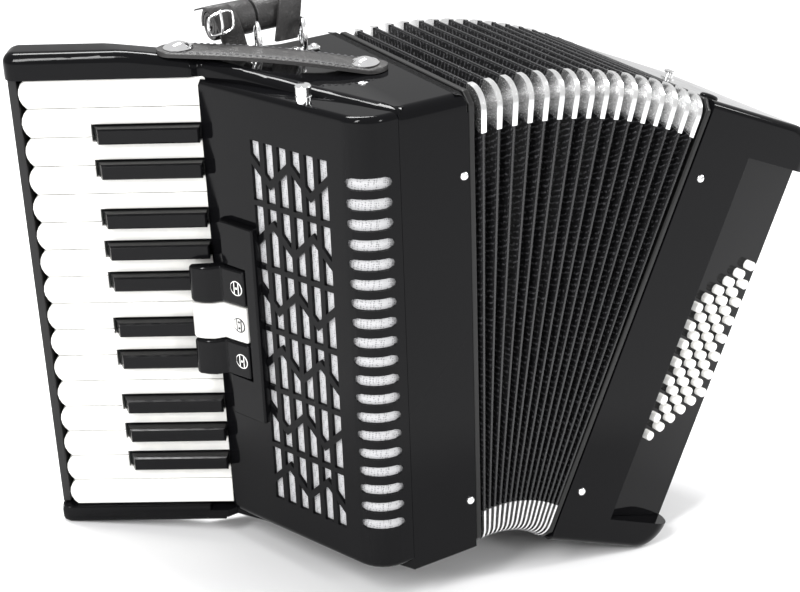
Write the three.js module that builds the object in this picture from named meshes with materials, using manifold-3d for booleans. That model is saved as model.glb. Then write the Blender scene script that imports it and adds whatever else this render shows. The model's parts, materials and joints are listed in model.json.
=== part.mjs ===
// Piano accordion, 26 keys and 48 bass buttons, standing half open like an arch.
// Millimetres, +Z up. The treble side is built upright in its own frame (X along the
// bellows, the front towards -Y, the keys stacked along Z), then leaned over with the rest.
import * as THREE from "three";
import { mergeVertices } from "three/addons/utils/BufferGeometryUtils.js";
import Module from "manifold-3d";

const wasm = await Module();
wasm.setup();

// ---------------------------------------------------------------- driving dimensions
const KEY_PITCH = 20;            // white key to white key
const WHITE_KEYS = 16;
const KEY_GAP = 0.6;             // between neighbouring white keys
const KEY_VISIBLE = 116;         // white key, free end to grille cover
const KEY_HIDDEN = 28;           // lever under the cover
const KEY_THICK = 14;
const BLACK_LENGTH = 70;
const BLACK_WIDTH = 10.6;
const BLACK_HEIGHT = 8;
const AXLE_R = 1.5;
const AXLE_INSIDE = 22;          // axle along the key, in from the grille cover
const AXLE_V = -8;               // axle below the key's playing face
const KEYBOARD_ANGLE = -33.1;    // plan direction of the keys, degrees from X
const KEYBOARD_ROOT = [-121.3246, 50.6522]; // where the keys go under the grille cover
const CHEEK_TOP = 18;            // cheek heights beyond the first and last key
const CHEEK_BOTTOM = 14;
const CHEEK_PROUD = 3;
const BED_DEPTH = 24;

const CASE_FRONT = -82.5;
const CASE_BACK = 84;
const CASE_BOTTOM = -12;
const CASE_OVER_KEYS = 0;        // case's top above the last key's side
const WALL = 3.5;
const SEAM_X = -50.5;            // joint between grille cover and treble case
const GRILLE_ANGLE = -71.5;      // plan direction of the flat grille face
const GRILLE_CORNER_R = 24;
const COVER_BOTTOM = -4;
const COVER_STEP = 1.5;          // cover's top below the case's
const PATTERN_ROWS = 6;
const PATTERN_COLUMNS = 6;
const PATTERN_ROW = 44.85;
const PATTERN_COLUMN = 11.6;
const PATTERN_START = 43.2;      // along the face, from the key end
const PATTERN_DROP = 31.4;       // below the case's top
const CORNER_SLOTS = 19;
const SLOT_PITCH = 13.57;
const SLOT_HEIGHT = 8.2;
const SLOT_DROP = 44.6;          // highest slot's middle below the case's top

const FOLD_RINGS = 8;            // each ring is a pair of bellows folds
const FOLD_PITCH = 7;            // closed
const FOLD_CLEAR = 0.3;          // each side of a folded ring
const BELLOWS_FRAME = 5;
const BELLOWS_DEPTH = 24;        // outer rim to inner rim of the folds
const FAN_POLE = [22.5, -13.5];  // x and z of the fan's axis in the treble frame
const FAN_ANGLE = 24.4;          // opening of the fan as the accordion stands

const BASS_WIDTH = 118;
const BASS_CORNER_R = 26;        // seen from the front
const BASS_PLAN_R = 20;          // seen from above, at the outer side
const BOARD_LEFT = [49.7, -75.9];
const BOARD_ANGLE = 9.6;
const BOARD_WIDTH = 66;
const BOARD_BOTTOM = 9.5;
const BOARD_DROP = 31;           // board's top below the case's
const BUTTON_ROWS = 6;
const BUTTONS_PER_ROW = 8;
const BUTTON_PITCH = 14.35;
const BUTTON_ROW_STEP = 8.8;
const BUTTON_STAGGER = 7.3;
const BUTTON_R = 3.5;
const BUTTON_FIRST = [9.8, 76];  // across the board, and up
const STRAP_BOTTOM = 22;
const STRAP_DROP = 36;           // hand strap's upper end below the case's top
const STRAP_BOW = 24;
const AIR_BUTTON_DROP = 58;
const ROLL_R = 13.5;             // rolled shoulder straps
const ROLL_Y = 80;
const LOOP_TURN = 70;            // plan direction of the strap loops, degrees from X
const LOOP_Y = 54.5;
const LOOP_LIFT = 10.9;          // loop's middle above the case's top
const REED_BLOCK_DROP = 22;
const BASS_REED_DROP = 40;
const GAP = 0.3;

// Whites start on B, so these counts of white keys have a black key after them. The
// second number is how far the black key sits towards the low end.
const BLACK_KEYS = [
  [2, 2.6], [3, -2.0], [5, 3.0], [6, 0], [7, -3.0],
  [9, 2.6], [10, -2.0], [12, 3.0], [13, 0], [14, -3.0],
];

// The case's top climbs from the bellows side to the keyboard cheek: x, and share of the climb.
const CLIMB = [[40, 0], [-45, 0], [-70, 5 / 36], [-95, 7 / 18], [-130, 7 / 9], [-160, 1], [-400, 1]];

const KEYS_HEIGHT = KEY_PITCH * WHITE_KEYS;
const CASE_TOP = KEYS_HEIGHT + CASE_OVER_KEYS;
const COVER_TOP = CASE_TOP - COVER_STEP;
const BOARD_TOP = CASE_TOP - BOARD_DROP;
const AXLE_U = KEY_VISIBLE + AXLE_INSIDE;
const RISE = CLIMB.map(([x, share]) => [x, CASE_TOP + share * (KEYS_HEIGHT + CHEEK_TOP - CASE_TOP)]);
const FOLD_WIDTH = FOLD_RINGS * FOLD_PITCH;
const BASS_START = 2 * BELLOWS_FRAME + FOLD_WIDTH;

// ---------------------------------------------------------------- materials
function material(name, color, roughness, metalness = 0) {
  const made = new THREE.MeshStandardMaterial({ color, roughness, metalness });
  made.name = name;
  return made;
}
const looks = {
  case: () => material("black_celluloid", 0x0b0b0d, 0.08),
  white: () => material("white_key_plastic", 0xf2f1ec, 0.18),
  black: () => material("black_key_plastic", 0x0a0a0b, 0.12),
  bed: () => material("keyboard_wood", 0x17150f, 0.6),
  steel: () => material("steel", 0xb9bcc0, 0.3, 1),
  chrome: () => material("chrome", 0xe4e6e8, 0.08, 1),
  cloth: () => material("grille_cloth", 0xdedfe0, 0.7),
  reed: () => material("reed_block_wood", 0xb08a5a, 0.65),
  fold: () => material("bellows_cloth", 0x101012, 0.75),
  frame: () => material("bellows_frame_wood", 0x0d0d0e, 0.35),
  leather: () => material("black_leather", 0x1a1a1c, 0.6),
  button: () => material("button_plastic", 0xf4f3ee, 0.2),
};

// ---------------------------------------------------------------- solids
function solidOf(geometry) {
  const bare = new THREE.BufferGeometry();
  bare.setAttribute("position", geometry.getAttribute("position").clone());
  if (geometry.index) bare.setIndex(geometry.index.clone());
  const merged = mergeVertices(bare, 1e-4);
  const mesh = new wasm.Mesh({
    numProp: 3,
    vertProperties: new Float32Array(merged.getAttribute("position").array),
    triVerts: new Uint32Array(merged.index.array),
  });
  mesh.merge();
  return new wasm.Manifold(mesh);
}

function geometryOf(solid) {
  const mesh = solid.getMesh();
  const geometry = new THREE.BufferGeometry();
  const points = new Float32Array(mesh.numVert * 3);
  for (let i = 0; i < mesh.numVert; i += 1) {
    for (let k = 0; k < 3; k += 1) points[3 * i + k] = mesh.vertProperties[mesh.numProp * i + k];
  }
  geometry.setAttribute("position", new THREE.BufferAttribute(points, 3));
  geometry.setIndex(new THREE.BufferAttribute(new Uint32Array(mesh.triVerts), 1));
  geometry.computeVertexNormals();
  return geometry;
}

const join = (...solids) => solids.reduce((a, b) => a.add(b));
const cut = (solid, ...tools) => tools.reduce((a, b) => a.subtract(b), solid);
const overlap = (a, b) => a.intersect(b);

function shapeOf(points) {
  return new THREE.Shape(points.map(([x, y]) => new THREE.Vector2(x, y)));
}

// A plan outline raised from z0 to z1, with its top and bottom rims chamfered.
function slab(points, z0, z1, bevel = 0, steps = 1) {
  const geometry = new THREE.ExtrudeGeometry(shapeOf(points), {
    depth: z1 - z0 - 2 * bevel,
    bevelEnabled: bevel > 0,
    bevelThickness: bevel,
    bevelSize: bevel,
    bevelOffset: -bevel,
    bevelSegments: steps,
  });
  geometry.translate(0, 0, z0 + bevel);
  return solidOf(geometry);
}

// An outline in X and Z, run along Y from y0 to y1.
function sideSlab(points, y0, y1, bevel = 0, steps = 1) {
  const flipped = points.map(([x, z]) => [x, -z]);
  const geometry = new THREE.ExtrudeGeometry(shapeOf(flipped), {
    depth: y1 - y0 - 2 * bevel,
    bevelEnabled: bevel > 0,
    bevelThickness: bevel,
    bevelSize: bevel,
    bevelOffset: -bevel,
    bevelSegments: steps,
  });
  geometry.rotateX(-Math.PI / 2);
  geometry.translate(0, y0 + bevel, 0);
  return solidOf(geometry);
}

function box(x0, x1, y0, y1, z0, z1) {
  const geometry = new THREE.BoxGeometry(x1 - x0, y1 - y0, z1 - z0);
  geometry.translate((x0 + x1) / 2, (y0 + y1) / 2, (z0 + z1) / 2);
  return solidOf(geometry);
}

function rod(x, y, z0, z1, radius, sides = 16) {
  const geometry = new THREE.CylinderGeometry(radius, radius, z1 - z0, sides);
  geometry.rotateX(Math.PI / 2);
  geometry.translate(x, y, (z0 + z1) / 2);
  return solidOf(geometry);
}

function placed(solid, matrix) {
  return solidOf(geometryOf(solid).applyMatrix4(matrix));
}

function arcPoints(cx, cy, radius, from, to, steps) {
  return Array.from({ length: steps + 1 }, (_, i) => {
    const angle = THREE.MathUtils.degToRad(from + ((to - from) * i) / steps);
    return [cx + radius * Math.cos(angle), cy + radius * Math.sin(angle)];
  });
}

// ---------------------------------------------------------------- plan frames
// along(u, v): u runs from an origin at the given angle, v stands out towards the front.
function planFrame([x0, y0], degrees) {
  const a = THREE.MathUtils.degToRad(degrees);
  const c = Math.cos(a);
  const s = Math.sin(a);
  return (u, v) => [x0 + u * c + v * s, y0 + u * s - v * c];
}
const KEYBOARD_CORNER = planFrame(KEYBOARD_ROOT, KEYBOARD_ANGLE)(-KEY_VISIBLE, 0);
const key = planFrame(KEYBOARD_CORNER, KEYBOARD_ANGLE);
const keyEnd = key(KEY_VISIBLE, 0);
const face = planFrame(keyEnd, GRILLE_ANGLE);

// Where the grille's flat face would meet the case front.
const faceRun = (CASE_FRONT - keyEnd[1]) / Math.sin(THREE.MathUtils.degToRad(GRILLE_ANGLE));
const faceTurn = -GRILLE_ANGLE;
const turnRun = GRILLE_CORNER_R * Math.tan(THREE.MathUtils.degToRad(faceTurn / 2));
const cornerX = face(faceRun, 0)[0];

function coverFront(inset) {
  const centre = [cornerX + turnRun, CASE_FRONT + GRILLE_CORNER_R];
  const arc = arcPoints(centre[0], centre[1], GRILLE_CORNER_R - inset, 270 - faceTurn, 270, 6);
  return arc;
}

const SEAM_CURVE = [
  key(KEY_VISIBLE - 3, CHEEK_PROUD), key(KEY_VISIBLE + 3, -1.5),
  [-103, 24], [-85, -10], [-69, -43], [-58, -68],
];

function riseTo(drop) {
  const top = RISE.map(([x, z]) => [x, z - drop]);
  return sideSlab([...top, [-400, -60], [40, -60]], -120, 250);
}

// ---------------------------------------------------------------- the assembly tree
const accordion = new THREE.Group();
accordion.name = "piano_accordion";
const treble = new THREE.Group();
accordion.add(treble);

function addMesh(parent, name, solid, look, at = [0, 0, 0]) {
  const geometry = geometryOf(solid);
  geometry.translate(-at[0], -at[1], -at[2]);
  const mesh = new THREE.Mesh(geometry, looks[look]());
  mesh.name = name;
  mesh.position.set(...at);
  parent.add(mesh);
  return mesh;
}

// A group turned about the fan's pole by a share of the opening. Its children are
// drawn where they sit with the bellows closed.
function fanGroup(share) {
  const turn = new THREE.Group();
  turn.position.set(FAN_POLE[0], 0, FAN_POLE[1]);
  turn.rotation.y = THREE.MathUtils.degToRad(FAN_ANGLE * share);
  const back = new THREE.Group();
  back.position.set(-FAN_POLE[0], 0, -FAN_POLE[1]);
  turn.add(back);
  treble.add(turn);
  return back;
}

// ---------------------------------------------------------------- treble case
function trebleCase() {
  const under = key(KEY_VISIBLE - 6, -BED_DEPTH - GAP);
  const slope = Math.tan(THREE.MathUtils.degToRad(KEYBOARD_ANGLE));
  const backLeft = [under[0] + (CASE_BACK - under[1]) / slope, CASE_BACK];
  const outline = [
    [0, CASE_FRONT], [0, CASE_BACK], backLeft, under, key(KEY_VISIBLE - 6, CHEEK_PROUD),
    ...SEAM_CURVE, [SEAM_X + GAP / 2, CASE_FRONT],
  ];
  const body = overlap(slab(outline, CASE_BOTTOM, CASE_TOP + 25, 2), riseTo(0));
  const cheekEnd = KEY_VISIBLE - 4;
  const cheekPlan = [
    key(-2, -BED_DEPTH - 1), key(cheekEnd, -BED_DEPTH - 1), key(cheekEnd, CHEEK_PROUD), key(-2, CHEEK_PROUD),
    key(-7, CHEEK_PROUD - 3), key(-8.5, -4), key(-8.5, -BED_DEPTH + 6),
  ];
  const top = overlap(slab(cheekPlan, KEYS_HEIGHT + GAP, KEYS_HEIGHT + CHEEK_TOP, 4, 2), riseTo(0));
  const bottom = slab(cheekPlan, -CHEEK_BOTTOM, -GAP, 4, 2);
  const inside = [
    [5, CASE_FRONT + WALL], [5, CASE_BACK - WALL], [backLeft[0] + 7, CASE_BACK - WALL],
    key(KEY_VISIBLE - 7, -BED_DEPTH - 4), key(KEY_VISIBLE - 7, -BED_DEPTH - GAP),
    key(KEY_VISIBLE - 16, -BED_DEPTH - GAP), key(KEY_VISIBLE - 16, 12), [-150, CASE_FRONT + WALL],
  ];
  const hollow = overlap(slab(inside, -5, CASE_TOP + 25), riseTo(4));
  const [ax, ay] = key(AXLE_U, AXLE_V);
  return cut(join(body, top, bottom), hollow, rod(ax, ay, -10, CASE_TOP + 6, AXLE_R + 0.12));
}

function keyboardBed() {
  const inner = KEY_VISIBLE + KEY_HIDDEN + 2;
  const outline = [
    key(-7, -BED_DEPTH), key(inner, -BED_DEPTH), key(inner, -15.5), key(inner - 2.5, -15.5),
    key(inner - 2.5, -20.3), key(-1.2, -20.3), key(-1.2, -4), key(-7, -4),
  ];
  return slab(outline, GAP, KEYS_HEIGHT - GAP);
}

// ---------------------------------------------------------------- grille
function coverOutline(inset) {
  const start = key(KEY_VISIBLE + 1.2 + inset, 0.8);
  const back = SEAM_CURVE.slice(2).reverse().map(([x, y]) => [x - 0.4, y - 0.3]);
  return [
    start, ...coverFront(inset), [SEAM_X - GAP / 2, CASE_FRONT + inset], ...back,
    key(KEY_VISIBLE + 3.4, 1),
  ];
}

// The zigzag bar's height in a row, as a share of the row, at a distance along it.
function zigzag(column, odd) {
  const swing = Math.abs((((column % 3) + 3) % 3) - 1.5) / 1.5;
  return odd ? 0.67 - 0.38 * swing : 0.29 + 0.38 * swing;
}

function patternHoles() {
  const half = 0.072;
  const edge = 0.17;
  const rim = 1.8 / PATTERN_ROW;
  const holes = [];
  for (let row = 0; row < PATTERN_ROWS; row += 1) {
    for (let column = 0; column < PATTERN_COLUMNS; column += 1) {
      const left = column + edge;
      const right = column + 1 - edge;
      const bend = column % 3 === 1 ? [column + 0.5] : [];
      const run = [left, ...bend, right];
      const line = run.map((c) => [c, zigzag(c, row % 2 === 0)]);
      const upper = [[right, rim], [left, rim], ...line.map(([c, h]) => [c, h - half])];
      const lower = [[left, 1 - rim], [right, 1 - rim], ...line.reverse().map(([c, h]) => [c, h + half])];
      for (const hole of [upper, lower]) {
        holes.push(hole.map(([c, h]) => [
          PATTERN_START + c * PATTERN_COLUMN,
          CASE_TOP - PATTERN_DROP - (row + h) * PATTERN_ROW,
        ]));
      }
    }
  }
  return holes;
}

function grilleCover() {
  const skin = 2.5;
  const shell = slab(coverOutline(0), COVER_BOTTOM, COVER_TOP);
  const room = [
    face(1.5, -skin), ...coverFront(skin), [SEAM_X + 20, CASE_FRONT + skin], [-20, 0], [-80, 70],
  ];
  const open = slab(room, COVER_BOTTOM + skin, COVER_TOP - skin);
  let cover = cut(shell, open);
  // Pattern holes, cut square to the flat face.
  const turn = new THREE.Matrix4();
  const a = THREE.MathUtils.degToRad(GRILLE_ANGLE);
  const across = new THREE.Vector3(Math.cos(a), Math.sin(a), 0);
  const out = new THREE.Vector3(Math.sin(a), -Math.cos(a), 0);
  turn.makeBasis(across, new THREE.Vector3(0, 0, 1), out);
  turn.setPosition(keyEnd[0], keyEnd[1], 0);
  for (const hole of patternHoles()) {
    const geometry = new THREE.ExtrudeGeometry(shapeOf(hole), { depth: 12, bevelEnabled: false });
    geometry.translate(0, 0, -8);
    // across x up gives the inward normal, so the mirrored basis is turned back over
    const tool = solidOf(geometry);
    cover = cut(cover, placedFlipped(tool, turn));
  }
  const slotLine = [face(faceRun - 15.6, 0), [-56.4, CASE_FRONT]];
  for (let i = 0; i < CORNER_SLOTS; i += 1) {
    const z = CASE_TOP - SLOT_DROP - i * SLOT_PITCH;
    cover = cut(cover, cornerSlot(slotLine, z));
  }
  return cover;
}

// Places a solid through a basis, mending its faces when the basis is left-handed.
function placedFlipped(solid, matrix) {
  const geometry = geometryOf(solid).applyMatrix4(matrix);
  if (matrix.determinant() < 0) {
    const index = geometry.index.array;
    for (let i = 0; i < index.length; i += 3) {
      [index[i], index[i + 1]] = [index[i + 1], index[i]];
    }
  }
  return solidOf(geometry);
}

// A slot round the corner: a round-ended bar seen from outside the corner.
function cornerSlot([from, to], z) {
  const run = new THREE.Vector3(to[0] - from[0], to[1] - from[1], 0);
  const length = run.length();
  run.normalize();
  const r = SLOT_HEIGHT / 2;
  const outline = [
    ...arcPoints(r, 0, r, 90, 270, 4),
    ...arcPoints(length - r, 0, r, -90, 90, 4),
  ];
  const geometry = new THREE.ExtrudeGeometry(shapeOf(outline), { depth: 22, bevelEnabled: false });
  geometry.translate(0, 0, -11);
  const inward = new THREE.Vector3(-run.y, run.x, 0);
  const matrix = new THREE.Matrix4().makeBasis(run, new THREE.Vector3(0, 0, 1), inward);
  matrix.setPosition(from[0], from[1], z);
  return placedFlipped(solidOf(geometry), matrix);
}

function grilleCloth() {
  const outer = [face(38, -2.8), ...coverFront(2.8), [SEAM_X - 4, CASE_FRONT + 2.8]];
  const inner = [[SEAM_X - 4, CASE_FRONT + 3.6], ...coverFront(3.6).reverse(), face(38, -3.6)];
  return slab([...outer, ...inner], 8, CASE_TOP - 20);
}

function registerHousing() {
  const plate = [face(13, GAP), face(46.5, GAP), face(46.5, 5), face(45.5, 6), face(17, 6)];
  const block = slab(plate, 82, 226, 0.8);
  return cut(block, slab([face(4, -3), face(37.4, -3), face(37.4, 12), face(4, 12)], 112.4, 195.2));
}

function registerSwitch(bottom, height) {
  const outline = [
    face(14, 1.3), face(36.6, 1.3), face(36.6, 7.2), face(23, 8.4), face(17, 8.6),
    key(KEY_VISIBLE + 1, 19.6), key(KEY_VISIBLE - 6, 19), key(KEY_VISIBLE - 11.5, 17),
    key(KEY_VISIBLE - 13.4, 14.5), key(KEY_VISIBLE - 12, 11.6), key(KEY_VISIBLE, 10.4),
  ];
  return slab(outline, bottom, bottom + height, 1.2);
}

// ---------------------------------------------------------------- inside the treble case
function trebleReedBlock() {
  const inner = { front: CASE_FRONT + WALL + GAP, back: CASE_BACK - WALL - GAP };
  const board = box(-50, -46, inner.front, inner.back, -5 + GAP, CASE_TOP - 4 - GAP);
  const blocks = [-52, -18, 16, 50].map((y) => slab(
    [[-46.5, y - 9], [-12, y - 6], [-12, y + 6], [-46.5, y + 9]], 14, CASE_TOP - REED_BLOCK_DROP,
  ));
  return join(board, ...blocks);
}

// ---------------------------------------------------------------- keys
function keyHole() {
  const [x, y] = key(AXLE_U, AXLE_V);
  return rod(x, y, -5, KEYS_HEIGHT + 5, AXLE_R + 0.12);
}

// A key's side outline (u along it, z across the keyboard) raised out of the bed.
function keyPlate(points, v0, v1, bevel) {
  const geometry = new THREE.ExtrudeGeometry(shapeOf(points), {
    depth: v1 - v0 - bevel,
    bevelEnabled: bevel > 0,
    bevelThickness: bevel,
    bevelSize: bevel,
    bevelOffset: -bevel,
    bevelSegments: 1,
  });
  geometry.translate(0, 0, v0);
  const [ox, oy] = KEYBOARD_CORNER;
  const a = THREE.MathUtils.degToRad(KEYBOARD_ANGLE);
  const matrix = new THREE.Matrix4().makeBasis(
    new THREE.Vector3(Math.cos(a), Math.sin(a), 0),
    new THREE.Vector3(0, 0, 1),
    new THREE.Vector3(Math.sin(a), -Math.cos(a), 0),
  );
  matrix.setPosition(ox, oy, 0);
  return placedFlipped(solidOf(geometry), matrix);
}

function blackSpan([after, shift]) {
  const centre = KEYS_HEIGHT - after * KEY_PITCH + shift;
  return [centre - BLACK_WIDTH / 2, centre + BLACK_WIDTH / 2];
}

function whiteKey(number) {
  const high = KEYS_HEIGHT - (number - 1) * KEY_PITCH - KEY_GAP / 2;
  const low = high - KEY_PITCH + KEY_GAP;
  const end = KEY_VISIBLE + KEY_HIDDEN;
  const notch = KEY_VISIBLE - BLACK_LENGTH - 1;
  const above = BLACK_KEYS.find(([after]) => after === number - 1);
  const below = BLACK_KEYS.find(([after]) => after === number);
  const middle = (high + low) / 2;
  const bulge = 4.6;
  const half = (high - low) / 2;
  const radius = (half * half + bulge * bulge) / (2 * bulge);
  const sweep = THREE.MathUtils.radToDeg(Math.asin(half / radius));
  const points = [...arcPoints(radius, middle, radius, 180 - sweep, 180 + sweep, 6)];
  if (below) {
    const top = blackSpan(below)[1] + 0.8;
    points.push([notch, low], [notch, top], [end, top]);
  } else {
    points.push([end, low]);
  }
  if (above) {
    const bottom = blackSpan(above)[0] - 0.8;
    points.push([end, bottom], [notch, bottom], [notch, high]);
  } else {
    points.push([end, high]);
  }
  return cut(keyPlate(points, -KEY_THICK, 0, 0.7), keyHole());
}

function blackKey(entry) {
  const [low, high] = blackSpan(entry);
  const front = KEY_VISIBLE - BLACK_LENGTH;
  const lever = keyPlate([[front, low], [KEY_VISIBLE + KEY_HIDDEN, low],
    [KEY_VISIBLE + KEY_HIDDEN, high], [front, high]], -KEY_THICK, -0.8, 0);
  const cap = keyPlate([[front, low], [KEY_VISIBLE + 0.4, low],
    [KEY_VISIBLE + 0.4, high], [front, high]], -1.5, BLACK_HEIGHT, 1.1);
  const slant = [
    key(front - 4, -2), key(front + 0.2, -2), key(front + 5, BLACK_HEIGHT + 1), key(front - 4, 12),
  ];
  return cut(join(lever, cap), slab(slant, low - 2, high + 2), keyHole());
}

// ---------------------------------------------------------------- bellows
function ring(x0, x1, rim, depth, bevel) {
  const y0 = CASE_FRONT + rim;
  const y1 = CASE_BACK - rim;
  const z0 = CASE_BOTTOM + rim;
  const z1 = CASE_TOP - rim;
  const c = 7;
  const outline = [
    [y0 + c, z0], [y1 - c, z0], [y1, z0 + c], [y1, z1 - c], [y1 - c, z1], [y0 + c, z1],
    [y0, z1 - c], [y0, z0 + c],
  ];
  const shape = shapeOf(outline);
  shape.holes.push(new THREE.Path([
    [y0 + depth, z0 + depth], [y0 + depth, z1 - depth], [y1 - depth, z1 - depth], [y1 - depth, z0 + depth],
  ].map(([y, z]) => new THREE.Vector2(y, z))));
  const geometry = new THREE.ExtrudeGeometry(shape, {
    depth: x1 - x0 - 2 * bevel,
    bevelEnabled: bevel > 0,
    bevelThickness: bevel,
    bevelSize: bevel,
    bevelOffset: -bevel,
    bevelSegments: 1,
  });
  geometry.translate(0, 0, x0 + bevel);
  const matrix = new THREE.Matrix4().makeBasis(
    new THREE.Vector3(0, 1, 0), new THREE.Vector3(0, 0, 1), new THREE.Vector3(1, 0, 0),
  );
  return placedFlipped(solidOf(geometry), matrix);
}

// ---------------------------------------------------------------- bass side
const board = planFrame(BOARD_LEFT, BOARD_ANGLE);

// The bass side seen from above, with its two outer corners rounded.
function bassPlan(inset) {
  const r = BASS_PLAN_R;
  return [
    [-10, CASE_FRONT + inset],
    ...arcPoints(BASS_WIDTH - r, CASE_FRONT + r, r - inset, 270, 360, 7),
    ...arcPoints(BASS_WIDTH - r, CASE_BACK - r, r - inset, 0, 90, 7),
    [-10, CASE_BACK - inset],
  ];
}

function bassCase() {
  const r = BASS_CORNER_R;
  const outline = [
    [0, CASE_BOTTOM],
    ...arcPoints(BASS_WIDTH - r, CASE_BOTTOM + r, r, 270, 360, 7),
    ...arcPoints(BASS_WIDTH - r, CASE_TOP - r, r, 0, 90, 7),
    [0, CASE_TOP],
  ];
  const inner = r - WALL;
  const room = [
    [-5, CASE_BOTTOM + WALL],
    ...arcPoints(BASS_WIDTH - r, CASE_BOTTOM + r, inner, 270, 360, 4),
    ...arcPoints(BASS_WIDTH - r, CASE_TOP - r, inner, 0, 90, 4),
    [-5, CASE_TOP - WALL],
  ];
  const block = sideSlab(outline, CASE_FRONT, CASE_BACK, 4, 3);
  const outer = overlap(block, slab(bassPlan(0), CASE_BOTTOM - 10, CASE_TOP + 10));
  const beyond = BASS_WIDTH + 22;
  const reach = (beyond - BOARD_LEFT[0]) / Math.cos(THREE.MathUtils.degToRad(BOARD_ANGLE));
  const recess = slab([
    [BOARD_LEFT[0], -100], [beyond, -100], board(reach, -2.3), board(0, -2.3),
  ], BOARD_BOTTOM, BOARD_TOP);
  const round = slab([
    [BOARD_LEFT[0] - 3, -100], [beyond, -100], board(reach, -5.3), board(-3, -5.3),
  ], BOARD_BOTTOM - 3, BOARD_TOP + 3);
  const chamber = overlap(
    sideSlab(room, CASE_FRONT + WALL, CASE_BACK - WALL),
    slab(bassPlan(WALL), CASE_BOTTOM, CASE_TOP),
  );
  const hollow = cut(chamber, round);
  const wellPlan = [board(3, 4), board(BOARD_WIDTH - 6, 4), board(BOARD_WIDTH - 6, -9), board(3, -9)];
  const well = slab(wellPlan, BOARD_BOTTOM + 6, BOARD_TOP - 6);
  const buttonHole = placed(rod(0, 0, -8, 8, 5.6), airButtonPlace());
  return cut(outer, recess, hollow, well, buttonHole);
}

function boardPoint(row, index) {
  return [
    BUTTON_FIRST[0] + row * BUTTON_ROW_STEP,
    BUTTON_FIRST[1] + row * BUTTON_STAGGER + index * BUTTON_PITCH,
  ];
}

// The board's own frame: X across it, Y up, Z out of its face.
function boardPlace() {
  const a = THREE.MathUtils.degToRad(BOARD_ANGLE);
  const matrix = new THREE.Matrix4().makeBasis(
    new THREE.Vector3(Math.cos(a), Math.sin(a), 0),
    new THREE.Vector3(0, 0, 1),
    new THREE.Vector3(Math.sin(a), -Math.cos(a), 0),
  );
  return matrix.setPosition(BOARD_LEFT[0], BOARD_LEFT[1], 0);
}

function buttonBoard() {
  const shape = shapeOf([
    [GAP, BOARD_BOTTOM + GAP], [BOARD_WIDTH, BOARD_BOTTOM + GAP],
    [BOARD_WIDTH, BOARD_TOP - GAP], [GAP, BOARD_TOP - GAP],
  ]);
  for (let row = 0; row < BUTTON_ROWS; row += 1) {
    for (let i = 0; i < BUTTONS_PER_ROW; i += 1) {
      const [x, y] = boardPoint(row, i);
      const hole = arcPoints(x, y, BUTTON_R + 0.35, 0, 324, 9);
      shape.holes.push(new THREE.Path(hole.map(([p, q]) => new THREE.Vector2(p, q))));
    }
  }
  const geometry = new THREE.ExtrudeGeometry(shape, { depth: 2, bevelEnabled: false });
  geometry.translate(0, 0, -2);
  return placedFlipped(solidOf(geometry), boardPlace());
}

// One row of buttons on the hidden strip that carries them, in its own frame.
function buttonRow() {
  const profile = [
    [0, -6.4], [2.2, -6.4], [2.2, -5.8], [BUTTON_R, -5.8], [BUTTON_R, 4.2], [2.6, 5.4], [0, 6],
  ];
  const points = profile.map(([r, y]) => new THREE.Vector2(r, y));
  const parts = [];
  for (let i = 0; i < BUTTONS_PER_ROW; i += 1) {
    const geometry = new THREE.LatheGeometry(points, 10);
    geometry.rotateX(Math.PI / 2);
    geometry.translate(0, i * BUTTON_PITCH, 0);
    parts.push(solidOf(geometry));
  }
  const strip = box(-2, 2, -3, (BUTTONS_PER_ROW - 1) * BUTTON_PITCH + 3, -7.4, -6);
  return join(strip, ...parts);
}

function bassReedBlock() {
  const base = box(16, 19.5, CASE_FRONT + WALL + GAP, CASE_BACK - WALL - GAP, CASE_BOTTOM + WALL + GAP,
    CASE_TOP - WALL - GAP);
  const blocks = [-42, -6, 30, 64].map((y) => slab(
    [[19, y - 9], [46, y - 6], [46, y + 6], [19, y + 9]], 30, CASE_TOP - BASS_REED_DROP,
  ));
  return join(base, ...blocks);
}

function bassStrap() {
  const outer = [];
  const inner = [];
  const length = CASE_TOP - STRAP_DROP - STRAP_BOTTOM;
  for (let i = 0; i <= 16; i += 1) {
    const t = i / 16;
    const bow = STRAP_BOW * Math.sin(Math.PI * t) ** 0.7;
    outer.push([BASS_WIDTH + GAP + 3 + bow, STRAP_BOTTOM + length * t]);
    inner.push([BASS_WIDTH + GAP + bow, STRAP_BOTTOM + length * t]);
  }
  return sideSlab([...inner, ...outer.reverse()], 2, 62);
}

// The air button's frame: Z points out of the bass case's outer side.
function airButtonPlace() {
  const matrix = new THREE.Matrix4().makeBasis(
    new THREE.Vector3(0, 1, 0), new THREE.Vector3(0, 0, 1), new THREE.Vector3(1, 0, 0),
  );
  return matrix.setPosition(BASS_WIDTH, -22, CASE_TOP - AIR_BUTTON_DROP);
}

function airButton() {
  const profile = [[0, -6], [5, -6], [5, 5.4], [8, 5.4], [8, 9], [6.5, 10.6], [0, 11]];
  const geometry = new THREE.LatheGeometry(profile.map(([r, y]) => new THREE.Vector2(r, y)), 16);
  geometry.rotateX(Math.PI / 2);
  return solidOf(geometry);
}

// ---------------------------------------------------------------- straps on top
const STRAP_FROM = [-128, 63.5];
const STRAP_ANGLE = -33.6;
const STRAP_LENGTH = 124;
const STRAP_HALF = 12;

// A band lying on the top of the case between two heights above it.
function topBand(low, high) {
  const points = RISE.slice(1, -1);
  const under = points.map(([x, z]) => [x, z + low]);
  const over = points.map(([x, z]) => [x, z + high]).reverse();
  const cheek = KEYS_HEIGHT + CHEEK_TOP;
  return sideSlab([[30, CASE_TOP + low], ...under, [-200, cheek + low], [-200, cheek + high], ...over,
    [30, CASE_TOP + high]], -100, 120);
}

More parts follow.
